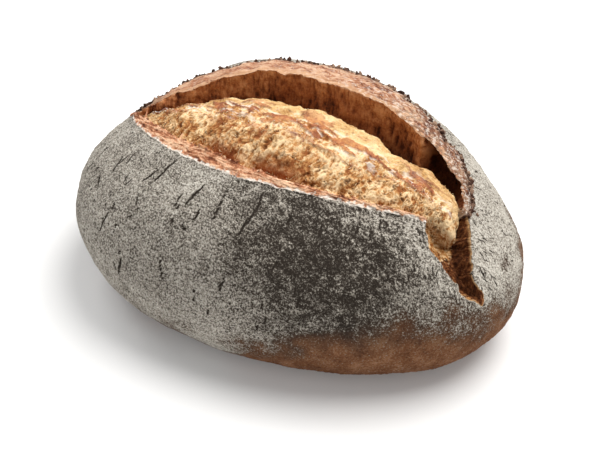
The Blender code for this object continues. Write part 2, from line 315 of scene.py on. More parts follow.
def cells(points, size, seed=0):
    """Distance to the nearest scattered point, in sizes, and that point's own random share."""
    scaled = points / size
    home = np.floor(scaled)
    nearest = np.full(points.shape[:-1], 9.0)
    share = np.zeros(points.shape[:-1])
    for step in np.ndindex(3, 3, 3):
        cell = home + np.array(step) - 1
        spot = [(hashed(cell, seed + k) & np.uint32(65535)) / 65535 for k in (1, 2, 3)]
        gap = np.linalg.norm(cell + np.stack(spot, axis=-1) - scaled, axis=-1)
        own = (hashed(cell, seed + 4) & np.uint32(65535)) / 65535
        share = np.where(gap < nearest, own, share)
        nearest = np.minimum(nearest, gap)
    return nearest, share


def depth_of(name):
    return WAVES[name][0] * MM


def waves(points, name):
    """Waves from about -1 to 1, as WAVES describes them."""
    _, length, octaves, rough, seed, stretch = WAVES[name]
    return layered(points * stretch, length * MM, octaves, seed, rough)


def raised(points, name):
    """Waves as a height in metres."""
    return depth_of(name) * waves(points, name)


def folded(points, name):
    """Waves folded into sharp crests, from 1 on a crest to about -1 between them."""
    return 1 - 2 * np.abs(waves(points, name))


# ---------------------------------------------------------------- shape of the skin


def ring_angles():
    even = np.arange(COLUMNS) * 2 * math.pi / COLUMNS
    return even - END_DENSITY / 2 * np.sin(2 * even)


ANGLE = ring_angles()


def half_width_at(x):
    return HALF_WIDTH * (1 - EGG * x / HALF_LENGTH)


def belly_outline(angle):
    x = HALF_LENGTH * signed_power(np.cos(angle), 2 / ROUNDNESS)
    y = half_width_at(x) * signed_power(np.sin(angle), 2 / ROUNDNESS)
    return x, y


def dome_height(x, y):
    """Height of the unbroken upper skin above a point of the base plane."""
    along = np.abs(x / HALF_LENGTH) ** ROUNDNESS
    across = np.abs(y / half_width_at(x)) ** ROUNDNESS
    reach = np.clip((along + across) ** (1 / ROUNDNESS), 0, 1)
    rise = np.sqrt(1 - reach**DOME_POWER)
    sag = np.zeros_like(rise)
    for middle_along, middle_across, reach_along, reach_across, depth in SAGS:
        off_along = (x / HALF_LENGTH - middle_along) / reach_along
        off_across = (y / HALF_LENGTH - middle_across) / reach_across
        sag = sag + SCALE * depth * np.exp(-(off_along**2) - off_across**2)
    return HEIGHT * (BELLY_SHARE + (1 - BELLY_SHARE) * rise) - sag * smooth(rise, 0, 0.35)


def curve_through(table, place):
    """Smooth curve through a table of (place, value), held level outside its ends."""
    knots, values = np.array(table, float).T
    slopes = np.gradient(values, knots)
    place = np.clip(place, knots[0], knots[-1])
    k = np.clip(np.searchsorted(knots, place, side="right") - 1, 0, len(knots) - 2)
    width = knots[k + 1] - knots[k]
    t = (place - knots[k]) / width
    return (
        (2 * t**3 - 3 * t**2 + 1) * values[k]
        + (t**3 - 2 * t**2 + t) * width * slopes[k]
        + (3 * t**2 - 2 * t**3) * values[k + 1]
        + (t**3 - t**2) * width * slopes[k + 1]
    )


EAR = smooth(np.sin(ANGLE), *EAR_BLEND)
FADE = smooth(np.abs(np.sin(ANGLE)), *END_BLEND)
ALONG = OPENING_MIDDLE + OPENING_REACH * np.cos(ANGLE)
LOBE = smooth(ALONG, LOBE_PLACE - LOBE_SOFTNESS, LOBE_PLACE + LOBE_SOFTNESS) * EAR * FADE
LOBE_EDGE = bump(ALONG, LOBE_PLACE - 2.0 * LOBE_SOFTNESS, 3.0 * LOBE_SOFTNESS) * EAR


def opening_outline():
    front, ear = curve_through(FRONT_LIP, ALONG), curve_through(EAR_LIP, ALONG)
    across = np.where(np.sin(ANGLE) > 0, ear, front)
    return HALF_LENGTH * ALONG, HALF_LENGTH * across + LOBE_STEP * LOBE


def seam_line():
    share = OPENING_MIDDLE + OPENING_REACH * SEAM_SHARE * np.cos(ANGLE)
    wander = SEAM_WANDER * noise(np.stack([share * SEAM_WAVES, share * 0, share * 0], axis=-1), 5)
    return HALF_LENGTH * share, HALF_LENGTH * (curve_through(SEAM, share) + wander * FADE)


def outward():
    """Level direction that points away from the opening."""
    across = np.sin(ANGLE) / HALF_WIDTH
    along = np.cos(ANGLE) / HALF_LENGTH
    size = np.hypot(along, across)
    return along / size, across / size


def torn_edge(share):
    """Ragged outline of the torn edge, in metres, share being the place across the band."""
    x, y = opening_outline()
    place = np.stack([x, y, np.full_like(x, 5 * MM * share)], axis=-1)
    ragged = raised(place, "torn_edge") + raised(place, "torn_teeth")
    lip_waves = LIP_WAVE_DEPTH * EAR * share * noise(place / LIP_WAVE_LENGTH, 15)
    return ragged * (1 + OUTER_RAGGED * EAR * (1 - share)) + lip_waves


def rim_lift(share):
    """Height of the torn band above the dome."""
    ear_lip, ear_outer = curve_through(EAR_LIP_LIFT, ALONG), curve_through(EAR_OUTER_LIFT, ALONG)
    lip = MM * mix(FRONT_LIFT, ear_lip, EAR) * FADE
    outer = MM * ear_outer * EAR
    return mix(outer, lip, share) + EAR_CROWN * EAR * math.sin(math.pi * share)


def band_width():
    """Width of the torn band at each column, in mm."""
    return mix(curve_through(FRONT_BAND, ALONG), curve_through(EAR_BAND, ALONG), EAR)


def rim_ring(share, ragged=1.0):
    """Ring of the torn band: share 0 is its outer edge and share 1 its inner edge."""
    x, y = opening_outline()
    out_x, out_y = outward()
    edge = torn_edge(share) * ragged
    step = MM * band_width() * (1 - share) + edge
    x, y = x + out_x * step, y + out_y * step
    return x, y, dome_height(x, y) + rim_lift(share) + edge * EDGE_LIFT


def base_ring(share):
    x, y = belly_outline(ANGLE)
    return x * share * BASE_SHARE, y * share * BASE_SHARE, np.zeros_like(x)


def foot_ring(turn):
    x, y = belly_outline(ANGLE)
    share = BASE_SHARE + (1 - BASE_SHARE) * math.sin(turn)
    z = np.full_like(x, HEIGHT * BELLY_SHARE * (1 - math.cos(turn)))
    return x * share, y * share, z


def crust_ring(share):
    belly_x, belly_y = belly_outline(ANGLE)
    plain_x, plain_y, plain_z = rim_ring(0.0, 0.0)
    rim_x, rim_y, rim_z = rim_ring(0.0)
    tearing = smooth(share, *TEAR_REACH)
    x = mix(belly_x, plain_x, share) + (rim_x - plain_x) * tearing
    y = mix(belly_y, plain_y, share) + (rim_y - plain_y) * tearing
    lift = (plain_z - dome_height(plain_x, plain_y)) * share**5
    ragged = rim_z - dome_height(rim_x, rim_y) - plain_z + dome_height(plain_x, plain_y)
    return x, y, dome_height(x, y) + lift + ragged * tearing


def along_profile(table, place):
    """Share of the way in and drop, from a profile whose points are numbered by place."""
    return [
        float(curve_through([(k, point[c]) for k, point in enumerate(table)], place))
        for c in (0, 1)
    ]


def way_in(place, front_in, ear_in):
    """Share of the way from rim to seam: fuller crumb at the end, undercut second lobe."""
    low, high, most = CRUMB_FILL
    filled = smooth(ALONG, low, high) * smooth(place, 3.0, 5.0) * (1 - smooth(place, 7, 9))
    undercut = LOBE_UNDERCUT * LOBE * bump(place, 2.4, 1.4) * min(place, 1)
    curl = LOBE_CURL * LOBE_EDGE * bump(place, 2.0, 2.0)
    return mix(front_in, ear_in * (1 - most * filled) - undercut + curl, EAR)


def strip_share(along):
    """The stretch of the near edge that carries the ragged strip."""
    start, end = STRIP_REACH
    fade_in = smooth(along, start, start + STRIP_FADE)
    return fade_in * (1 - smooth(along, end - STRIP_FADE, end))


def drop_inside(along, place, front_drop, ear_drop):
    """Drop of the opening's skin below the dome, before the crumb's own rise."""
    low, high, shallow = FRONT_SHALLOW
    front_drop = front_drop * mix(1, shallow, smooth(along, low, high))
    drop = mix(front_drop, ear_drop, EAR)
    hollow = sum(depth * bump(along, middle, half) for middle, half, depth in HOLLOWS)
    drop = drop + hollow * (1 - EAR) * bump(place, *HOLLOW_PLACE)
    ruffle = noise(np.stack([along * STRIP_RUFFLES, along * 0, along * 0 + 7.5], axis=-1), 9)
    strip = STRIP_HEIGHT * strip_share(along) * np.clip(0.75 + 0.9 * ruffle, 0, 1.4)
    drop = drop - strip * bump(place, *STRIP_PLACE) * (1 - EAR)
    deep = mix(GROOVE_SHALLOW, 1, smooth(along, *GROOVE_START))
    low, high, shallow = GROOVE_END
    deep = deep * mix(1, shallow, smooth(along, low, high) * EAR)
    drop = np.where(drop > 0, drop * deep, drop)
    low, high, end_drop = END_DROP
    return drop + end_drop * smooth(along, low, high) * (1 - smooth(place, 7.0, 9.0) * 0.3)


def opening_ring(place):
    """Ring inside the opening, at one place of its profiles."""
    front_in, front_drop = along_profile(FRONT_PROFILE, place)
    ear_in, ear_drop = along_profile(EAR_PROFILE, place)
    share = way_in(place, front_in, ear_in)
    ragged = 1 - smooth(place, 0.5, 2.5)
    rim_x, rim_y, _ = rim_ring(1.0, ragged)
    seam_x, seam_y = seam_line()
    x, y = mix(rim_x, seam_x, share), mix(rim_y, seam_y, share)
    along = x / HALF_LENGTH
    drop = drop_inside(along, place, front_drop, ear_drop)
    drop = drop + CRUMB_LEFT_DROP * (1 - smooth(along, *CRUMB_RISE)) * smooth(share, 0, 0.4)
    lift = rim_lift(1.0) + torn_edge(1.0) * EDGE_LIFT * ragged
    return x, y, dome_height(x, y) - drop + lift * (1 - smooth(place, 0.0, 2.5))


def along_line(spots, line):
    """Distance of each spot from a line of points, and the share of the way along it."""
    gap, way = np.full(spots.shape[:-1], 1.0), np.zeros(spots.shape[:-1])
    for k in range(len(line) - 1):
        run = line[k + 1] - line[k]
        t = np.clip(((spots - line[k]) @ run) / (run @ run + TINY), 0, 1)
        far = np.linalg.norm(spots - line[k] - t[..., None] * run, axis=-1)
        way = np.where(far < gap, (k + t) / (len(line) - 1), way)
        gap = np.minimum(gap, far)
    return gap, way


def crack_place(x, y):
    """Distance from the crack's line, the share of the way along it, and the side."""
    line = np.array(CRACK_LINE) * HALF_LENGTH
    spots = np.stack([x, y], axis=-1)
    gap, way = along_line(spots, line)
    k = np.minimum((way * (len(line) - 1)).astype(int), len(line) - 2)
    run, off = (line[1:] - line[:-1])[k], spots - line[k]
    return gap, way, np.sign(run[..., 0] * off[..., 1] - run[..., 1] * off[..., 0])


def crack_half(way):
    """Half width of the crack at a share of the way along it."""
    places = np.linspace(0, 1, len(CRACK_HALF_WIDTHS))
    return curve_through(list(zip(places, CRACK_HALF_WIDTHS)), way)


def crack_cut(x, y, z, weight):
    """The skin moved in along the end crack, and how much each point lies inside it."""
    gap, way, side = crack_place(x, y)
    gap = gap + raised(np.stack([x, y, z], axis=-1), "crack_edge")
    inside = 1 - smooth(gap - crack_half(way), *CRACK_CLIFF)
    inside = np.where(z > HEIGHT * BELLY_SHARE * CRACK_LOWEST, inside, 0) * weight
    streak = np.stack([gap / CRACK_STREAK_WIDTH + 3 * side, way * 4, way * 0], axis=-1)
    deep = mix(*CRACK_SIDES, smooth(side * gap, -5 * MM, 4 * MM))
    depth = CRACK_DEPTH * deep * np.sqrt(np.clip(1 - way, 0, 1))
    depth = (depth + CRACK_STREAK_DEPTH * noise(streak, 29)) * inside
    return x - CRACK_PUSH[0] * depth, y, z - CRACK_PUSH[1] * depth, inside


def skin_rows():
    """Every ring of the skin and its place: (part of the skin, share)."""
    rows = []
    for k in range(BASE_ROWS):
        rows.append(("base", (k + 1) / BASE_ROWS, base_ring((k + 1) / BASE_ROWS)))
    for k in range(1, FOOT_ROWS + 1):
        rows.append(("foot", k / FOOT_ROWS, foot_ring(math.pi / 2 * k / FOOT_ROWS)))
    for k in range(1, CRUST_ROWS):
        share = 1 - math.cos(math.pi / 2 * k / CRUST_ROWS)
        rows.append(("crust", k / CRUST_ROWS, crust_ring(share)))
    for k in range(RIM_ROWS + 1):
        rows.append(("rim", k / RIM_ROWS, rim_ring(k / RIM_ROWS)))
    for interval, count in enumerate(OPENING_ROWS):
        for k in range(1, count + 1):
            place = interval + k / count
            rows.append(("opening", place, opening_ring(place)))
    return rows


def build_skin():
    """Arrays for the whole skin: points by row and column, and what each row is."""
    points, inside, kinds, places = [], [], [], []
    for kind, place, (x, y, z) in skin_rows():
        mask = np.zeros_like(x)
        if kind in ("crust", "rim", "opening"):
            weight = 1 - smooth(place, 1.5, 6.0) if kind == "opening" else 1.0
            x, y, z, mask = crack_cut(x, y, z, weight)
        points.append(np.stack([x, y, z], axis=1))
        inside.append(mask)
        kinds.append(kind)
        places.append(place)
    points = np.array(points)
    points[..., 0] += points[..., 2] / HEIGHT * LEAN[0]
    points[..., 1] += points[..., 2] / HEIGHT * LEAN[1]
    middle = (points.min(axis=(0, 1)) + points.max(axis=(0, 1))) / 2
    points[..., 0] += (LOW.x + HIGH.x) / 2 - middle[0]
    points[..., 1] += (LOW.y + HIGH.y) / 2 - middle[1]
    return {
        "points": points,
        "crack": np.array(inside),
        "kind": np.array(kinds),
        "place": np.array(places),
    }


def grid_normals(points):
    """Outward direction at each point of the skin."""
    along = np.roll(points, -1, axis=1) - np.roll(points, 1, axis=1)
    up = np.gradient(points, axis=0)
    normal = np.cross(along, up)
    size = np.linalg.norm(normal, axis=-1, keepdims=True)
    return normal / np.maximum(size, 1e-12)


# ---------------------------------------------------------------- relief


def surface_at(skin, row, column):
    """Points and outward directions of the skin at part-way rows and columns."""
    low = np.clip(np.floor(row).astype(int), 0, len(skin["points"]) - 2)
    left = np.floor(column).astype(int)
    up, along = (row - low)[..., None], (column - left)[..., None]
    left = left % COLUMNS
    right = (left + 1) % COLUMNS
    found = []
    for grid in (skin["points"], skin["normals"]):
        first = mix(grid[low, left], grid[low, right], along)
        second = mix(grid[low + 1, left], grid[low + 1, right], along)
        found.append(mix(first, second, up))
    return found


def crack_strokes(skin, rng):
    """The small dry cracks: start row, column, length, lean and half width."""
    crust = np.flatnonzero(np.isin(skin["kind"], ("foot", "crust")))
    first, last = crust[int(len(crust) * STROKE_LOWEST)], crust[-int(2 * FINENESS) - 2]
    shortest, longest = STROKE_LENGTHS
    strokes = []
    for _ in range(STROKES):
        row = first + (last - first) * rng.random() ** 0.6
        column = rng.random() * COLUMNS
        at_end = smooth(skin["points"][int(row), int(column), 0] / HALF_LENGTH, *STROKE_END)
        most = mix(longest, STROKE_LONGEST_AT_END, at_end)
        length = mix(shortest, most, rng.random() ** 2.4) * MM
        lean = rng.normal(0.0, STROKE_LEAN)
        half = mix(*STROKE_HALF_WIDTHS, rng.random()) * MM * (0.75 + length / (16 * MM))
        half = half * mix(1, STROKE_THIN_AT_END, at_end)
        strokes.append((int(row), int(column), length, lean, half))
    return strokes


def stroke_block(points, stroke):
    """The rows and columns of the skin near one dry crack, and its lowest row."""
    row, column, length, lean, _ = stroke
    step = np.linalg.norm(points[row - 1, column] - points[row, column])
    low = max(row - max(int(length / max(step, 0.2 * MM)), 2), 1)
    side = np.linalg.norm(points[row, (column + 1) % COLUMNS] - points[row, column])
    reach = int((2.2 * MM + abs(lean) * length) / max(side, 0.1 * MM)) + 2
    near = (column + np.arange(-reach, reach + 1)) % COLUMNS
    return np.ix_(np.arange(low, min(row + 3, len(points))), near), low


def stroke_line(points, stroke, low, rng):
    """Points of the swaying line that one dry crack follows."""
    row, column, length, lean, _ = stroke
    across = points[row, (column + 3) % COLUMNS] - points[row, column]
    across = across / (np.linalg.norm(across) + TINY)
    sway = np.cumsum(rng.normal(0, STROKE_SWAY, STROKE_KNOTS))
    line = []
    for k, t in enumerate(np.linspace(0, 1, STROKE_KNOTS)):
        spot = points[int(round(row - (row - low) * t)), column]
        line.append(spot + across * (lean * t * length + sway[k]))
    return line


def carve_strokes(skin, relief, mask, rng):
    """Cuts each dry crack into the relief and marks it, working on the points near it."""
    points = skin["points"]
    for stroke in crack_strokes(skin, rng):
        block, low = stroke_block(points, stroke)
        gap, way = along_line(points[block], stroke_line(points, stroke, low, rng))
        half = stroke[-1]
        width = half * np.sqrt(np.sin(np.clip(way * math.pi, 0.05, math.pi - 0.05)))
        cut, lip = bump(gap, 0, width), bump(gap, 0, 2.8 * width)
        relief[block] += (0.45 * lip - 2.0 * cut) * half
        mask[block] = np.maximum(mask[block], cut)


def crust_relief(points):
    """Uneven leathery swell of the floured crust, with wrinkles towards its cracked end."""
    relief = raised(points, "crust_swell") + raised(points, "crust_folds")
    relief = relief + raised(points, "crust_pimples")
    wrinkles = depth_of("crust_wrinkles") * folded(points @ WRINKLE_TURN.T, "crust_wrinkles")
    return relief + wrinkles * smooth(points[..., 0] / HALF_LENGTH, *WRINKLE_REACH)


def torn_relief(points, across_band):
    """Flaky layers of the torn crust, drawn out along the tear, and a tone that follows them:
    painted highlight on their crests and painted shade between.
    """
    drawn = np.stack([points[..., 0], across_band, points[..., 2]], axis=-1)
    layers = folded(drawn, "torn_layers")
    return depth_of("torn_layers") * layers + raised(points, "torn_rough"), layers


def wall_relief(points):
    """Upright fibres of the torn wall under the ear, and a tone that follows them: painted
    highlight where they stand out and painted shade between.
    """
    fibre, lumps = folded(points, "wall_fibre"), waves(points, "wall_lumps")
    relief = depth_of("wall_fibre") * fibre + depth_of("wall_lumps") * lumps
    return relief, 0.7 * fibre + 0.5 * lumps


def crumb_relief(points):
    """Open woolly crumb: its lumps, its folds, fibres and pores, the pores (for painted shade) and
    a tone of painted highlight on the crests of the folds and fibres and painted shade between.
    """
    lumps = raised(points, "crumb_lumps") + raised(points, "crumb_bumps")
    curl = raised(points, "crumb_curl")
    drawn = points @ CRUMB_TURN.T
    drawn = drawn + np.stack([curl, curl * 0, curl], axis=-1)
    folds, fibre = folded(drawn, "crumb_folds"), folded(drawn, "crumb_fibre")
    warped = points + raised(points, "crumb_warp")[..., None]
    pores = np.zeros(points.shape[:-1])
    for size, seed, wall, depth, rarest in PORES:
        gap, own = cells(warped, size * MM, seed)
        pores = np.maximum(pores, depth * (1 - smooth(gap, *wall)) * (own > rarest))
    woolly = depth_of("crumb_folds") * folds + depth_of("crumb_fibre") * fibre
    return lumps, woolly - PORE_DEPTH * pores, pores, 0.75 * folds + 0.5 * fibre


def seam_masks(spots, depth):
    """Flour and amber glaze along the seam of the crumb."""
    flour = bump(depth, LAST_PLACE, 0.8) * smooth(waves(spots, "seam_flour"), 0.10, 0.65)
    amber = waves(spots, "seam_amber") + 0.25 * bump(depth, LAST_PLACE, 0.5) - 0.25
    return flour, bump(depth, 8.8, 1.1) * smooth(amber, 0.0, 0.12)


def opening_relief(skin, relief, masks):
    """Relief and masks of the torn band, the torn wall under the ear and the crumb."""
    kind, place = skin["kind"], skin["place"]
    both = (kind == "rim") | (kind == "opening")
    spots = skin["points"][both]
    depth = np.where(kind == "rim", place - 1, place)[both][:, None]
    ear, along = EAR[None, :], spots[..., 0] / HALF_LENGTH
    band = MM * band_width()[None, :]
    across_band = np.minimum(depth, 0) * band + spots[..., 1] * 0.1
    wall_end = mix(1.9, 4.3, ear)
    torn = 1 - smooth(depth, wall_end - 0.6, wall_end + 0.6)
    wall = torn * ear * smooth(depth, 0.05, 0.7)
    flaky, layers = torn_relief(spots, across_band)
    lumps, woolly, pore, fibre = crumb_relief(spots)
    upright, streak = wall_relief(spots)
    fine = ear * smooth(depth, 4.5, 6.0) * (1 - smooth(depth, 8.3, 8.9))
    seam_band = bump(depth, LAST_PLACE, 1.1)
    hollow = sum(bump(along, middle, half) for middle, half, _ in HOLLOWS)
    hollow = np.clip(1.5 * hollow, 0, 1) * (1 - ear) * np.clip(1.4 * bump(depth, 3.9, 1.7), 0, 1)
    woolly = woolly * (1 - 0.75 * hollow) * (1 - 0.6 * fine) * (1 - 0.65 * seam_band)
    risen = lumps * smooth(depth, 3.0, 6.0) + woolly
    flour, amber = seam_masks(spots, depth)
    relief[both] = mix(mix(risen, flaky, torn), upright, wall) * mix(0.35, 1, FADE[None, :])
    relief[both] += 0.8 * MM * amber
    strip = (strip_share(ALONG) * (1 - EAR))[None, :]
    found = {
        # Painted shade in the crumb's pores.
        "pore": pore * (1 - torn) * (1 - hollow) * (1 - 0.7 * seam_band),
        # The tone follows the relief: painted highlight on its crests, painted shade in its
        # valleys.
        "fibre": mix(mix(fibre, layers, torn), streak, wall),
        "crumb": 1 - torn,
        "wall": wall,
        "hollow": hollow,
        "fine": fine,
        "seam": flour,
        "amber": amber,
        "strip": strip * np.clip(1.4 * bump(depth, 1.5, 1.0), 0, 1),
    }
    for name, values in found.items():
        masks[name] = np.zeros(relief.shape)
        masks[name][both] = values


def settle_skin(skin, relief):
    """Moves the skin's points by their relief, and joins the two sides of the seam."""
    points, kind, place = skin["points"], skin["kind"], skin["place"]
    strength = np.where(kind == "opening", mix(0.6, 1, smooth(place, 0, 1.5)), 1.0)
    strength = np.where(kind == "rim", 0.6, strength)
    near_rim = mix(1, 0.6, smooth(place, 0.9, 1.0))
    strength = np.where(kind == "crust", near_rim, strength)
    relief = relief * strength[:, None] * smooth(points[..., 2], 0.5 * MM, 9 * MM)
    points = points + grid_normals(points) * relief[..., None]
    points[..., 2] = np.maximum(points[..., 2], 0)
    twin = (-np.arange(COLUMNS)) % COLUMNS
    points[-1] = (points[-1] + points[-1][twin]) / 2
    normals = grid_normals(points)
    normals[-1] = unit(normals[-1] + normals[-1][twin])
    skin["points"], skin["normals"] = points, normals


def shape_relief(skin):
    """Moves the skin's points by their relief and fills in the masks that follow from it."""
    points, kind = skin["points"], skin["kind"]
    relief = np.zeros(points.shape[:2])
    masks = {"fissure": np.zeros(points.shape[:2])}
    outer = np.isin(kind, ("foot", "crust"))
    relief[outer] = crust_relief(points[outer])
    carve_strokes(skin, relief, masks["fissure"], np.random.default_rng(17))
    opening_relief(skin, relief, masks)
    settle_skin(skin, relief)
    skin["masks"] = masks


# ---------------------------------------------------------------- masks for the materials


# Cover of flour, 1 being full: on plain crust, what faces turned to the end, up and to the back add
# (partly flour lying thicker there, partly painted light where the key light falls), what the thin
# near side and the bare foot take away, what the low front adds, and how streaked (partly painted
# raking highlights) and patchy it is.
FLOUR_PLAIN = 0.48
FLOUR_THICK_AND_PAINTED_LIGHT = 0.24
FLOUR_THINNED = 0.36
FLOUR_BARED = 0.60
FLOUR_LOW_FRONT = 0.15
FLOUR_STREAKS_AND_RAKING_LIGHT = (0.08, 0.22)
FLOUR_PATCHY = 0.06

# The bare foot: height in mm where flour starts and how far it fades in, left and at the end.
BARE_TO_END = (-0.1, 0.85)
BARE_START = (-2, 25)
BARE_FADE = (21, 34)

# The thin near side: where it starts along the loaf, how it leans, and its end by the crack.
THIN_FACING = (0.10, 0.50)
THIN_START = (0.12, 0.62)
THIN_LEAN = 0.26
THIN_END = (0.62, 0.85)
THIN_EASED = 0.70


def flour_masks(skin, masks, patch):
    """Flour over the crust, thicker towards the key light (partly painted light), thinner on its
    near side, and the bare browned foot of the end.
    """
    points, normals = skin["points"], skin["normals"]
    x, z = points[..., 0] / HALF_LENGTH, points[..., 2]
    to_end = smooth(x, *BARE_TO_END)
    start = mix(*BARE_START, to_end) * MM
    height = z + depth_of("patch") * patch
    bare = 1 - smooth(height, start, start + mix(*BARE_FADE, to_end) * MM)
    facing_end = smooth(normals[..., 0], 0.25, 0.75)
    facing_up = smooth(normals[..., 2], 0.2, 0.9)
    facing_back = smooth(normals[..., 1], 0.1, 0.7)
    # Thicker flour on faces turned to the end, up and to the back: partly flour lying on top,
    # partly painted light on the faces the key light falls on.
    thick = np.clip(0.55 * facing_end + 0.25 * facing_up + 0.25 * facing_back, 0, 0.7)
    high = smooth(z, 40 * MM, 88 * MM)
    thin = smooth(-normals[..., 1], *THIN_FACING) * smooth(x + THIN_LEAN * high, *THIN_START)
    thin = thin * (1 - THIN_EASED * smooth(x, *THIN_END))
    low_front = (1 - smooth(z, 15 * MM, 70 * MM)) * (1 - facing_end) * (1 - facing_back)
    flour = FLOUR_PLAIN + FLOUR_THICK_AND_PAINTED_LIGHT * thick * (1 - thin) - FLOUR_THINNED * thin
    # Streaks of flour, strongest on the thin near side: partly flour, partly painted raking
    # highlights.
    flour = flour + mix(*FLOUR_STREAKS_AND_RAKING_LIGHT, thin) * waves(points, "flour_streaks_and_raking_light")
    flour = flour + FLOUR_LOW_FRONT * low_front - FLOUR_BARED * bare + FLOUR_PATCHY * patch
    masks["flour"] = np.clip(flour, 0, 1)
    masks["bare"] = bare


# The ear's band: how far from its outer edge, in mm, char, paler char and the near side's white
# flour reach, and how toasted the rest is, more so towards the crack.
EDGE_WANDER = 0.9
CHAR_REACH = (1.0, 3.0)
PALE_CHAR = 0.68
PALE_CHAR_REACH = (4.0, 16.0)
WHITE_REACH = (0.3, 1.1)
TOASTED = (0.38, 0.88)
TOASTED_START = (0.05, 0.40)
DUST_FLECKS = (0.2, 0.65)
DUST_START = (-0.4, 0.3)
DUST_STRENGTH = 0.75
SCORCH_START = 0.965
# Width of the painted highlight along the ear's lip.
LIP_HIGHLIGHT_WIDTH = 0.16
# Painted light on the top of the ear's wall: the depths over which it fades, and how much deeper it
# reaches towards the crack.
WALL_LIGHT_REACH = (0.3, 2.8)
WALL_LIGHT_DEEPER = 0.9


def ear_masks(skin, masks, patch, wander):
    """Char, dust and scorching on the torn band, a painted highlight along the ear's lip, and
    painted light on the top of its wall.
    """
    kind, place = skin["kind"], skin["place"][:, None]
    x = skin["points"][..., 0] / HALF_LENGTH
    rim, opening = (kind == "rim")[:, None], (kind == "opening")[:, None]
    ear = EAR[None, :]
    share = np.where(rim, place, np.where(opening, 1.0, -1.0))
    from_edge = share * band_width()[None, :] + EDGE_WANDER * wander
    pale = PALE_CHAR * (1 - smooth(from_edge + 4 * patch, *PALE_CHAR_REACH))
    toasted = mix(*TOASTED, smooth(x, *TOASTED_START) * smooth(wander, -0.30, 0.30))
    char = np.maximum(1 - smooth(from_edge, *CHAR_REACH), np.maximum(pale, toasted))
    masks["char"] = char * ear * rim
    white = (1 - smooth(from_edge, *WHITE_REACH)) * (1 - ear) * rim
    flecks = smooth(waves(skin["points"], "dust"), 0.30, 0.65) * ear * rim
    flecks = flecks * mix(*DUST_FLECKS, smooth(x, *DUST_START))
    masks["dust"] = np.clip(white + flecks * DUST_STRENGTH, 0, 1)
    edge = smooth(place, SCORCH_START, 1.0) * (kind == "crust")[:, None]
    masks["scorch"] = np.clip(edge * ear * smooth(wander + edge, 0.0, 0.5), 0, 1)
    depth = np.where(opening, place, 0.0)
    # Painted highlight along the ear's lip.
    masks["lip"] = ear * bump(np.where(rim, place - 1, depth), 0.0, LIP_HIGHLIGHT_WIDTH)
    # Painted light on the top of the ear's wall, fading with depth.
    light_depth = depth + 0.6 * patch - WALL_LIGHT_DEEPER * smooth(x, 0.0, 0.3) * (1 - LOBE[None, :])
    masks["glow"] = ear * (1 - smooth(light_depth, *WALL_LIGHT_REACH)) * opening


# The crack: where its golden start and its golden edge end, as shares of the way along it, and
# in metres the edge's place and width and the fade of the painted shade at its bottom.
GOLDEN_START = (0.12, 0.32)
GOLDEN_EDGE = (1.0 * MM, 1.6 * MM)
GOLDEN_EDGE_END = (0.75, 0.9)
BOTTOM_FADE = 3 * MM

# Painted shade in the groove is darkest at these places of the profiles, except at the end where
# crumb fills it and where the torn crumb is lightened with painted light.
GROOVE_DARKEST = (3.9, 1.2)
LOBE_DARKEST = (3.0, 2.0)
GROOVE_FILLED = (0.54, 0.68)
TORN_END_AND_LIGHT = (0.56, 0.68)


def crack_masks(skin, masks, wander):
    """The torn inside of the end crack, painted shade in the groove and at the crack's bottom, and
    the crumb torn at the end, lightened with painted light.
    """
    x = skin["points"][..., 0] / HALF_LENGTH
    opening = (skin["kind"] == "opening")[:, None]
    depth = np.where(opening, skin["place"][:, None], 0.0)
    gap, way, side = crack_place(skin["points"][..., 0], skin["points"][..., 1])
    inward = crack_half(way) - gap
    tear = skin["crack"]
    aside = -side * gap + depth_of("wander") * wander
    golden = 1 - smooth(way + 0.10 * wander, *GOLDEN_START)
    golden = golden * smooth(aside, -1.0 * MM, 1.5 * MM)
    edge = bump(inward, *GOLDEN_EDGE) * smooth(wander, -0.25, 0.25)
    edge = edge * (side < 0) * (1 - smooth(way, *GOLDEN_EDGE_END))
    golden = np.maximum(golden, 0.8 * edge)
    masks["tear"] = np.clip(tear, 0, 1)
    masks["golden"] = golden * smooth(tear, 0.02, 0.20)
    # Painted shade at the bottom of the crack.
    crack_bottom_shade = tear * (1 - smooth(aside, -BOTTOM_FADE, BOTTOM_FADE))
    crack_bottom_shade = crack_bottom_shade * smooth(inward, 0, BOTTOM_FADE)
    under_lobe = 0.9 * LOBE[None, :] * bump(depth, *LOBE_DARKEST)
    shade_in_groove = np.maximum(bump(depth, *GROOVE_DARKEST), under_lobe)
    shade_in_groove = shade_in_groove * (1 - 0.9 * smooth(x, *GROOVE_FILLED))
    # Painted shade: the groove darkened, most under the second lobe, and the bottom of the crack.
    masks["deep"] = np.maximum(0.9 * EAR[None, :] * shade_in_groove, 0.35 * crack_bottom_shade) * opening
    masks["shade"] = 0.6 * crack_bottom_shade
    # The crumb torn at the end: partly coarser torn crumb, partly painted light that brightens this
    # shaded end.
    torn_end_lightened = smooth(x, *TORN_END_AND_LIGHT) * opening * smooth(depth, 2.0, 4.0)
    masks["pore"] = masks["pore"] * (1 - 0.4 * torn_end_lightened)
    masks["fibre"] = masks["fibre"] * (1 + 0.6 * torn_end_lightened) + (0.45 + 1.2 * wander) * torn_end_lightened


def paint_masks(skin):
    """Where flour lies, where the crust is torn or charred, and where shade and light are painted:
    in the groove, on the ear's lip and on its wall.
    """
    patch, wander = waves(skin["points"], "patch"), waves(skin["points"], "wander")
    flour_masks(skin, skin["masks"], patch)
    ear_masks(skin, skin["masks"], patch, wander)
    crack_masks(skin, skin["masks"], wander)


# ---------------------------------------------------------------- pieces cut from the skin


def add_masks(mesh, values):
    for name, data in values.items():
        attribute = mesh.attributes.new(name, "FLOAT", "POINT")
        attribute.data.foreach_set("value", data.astype(np.float32).ravel())


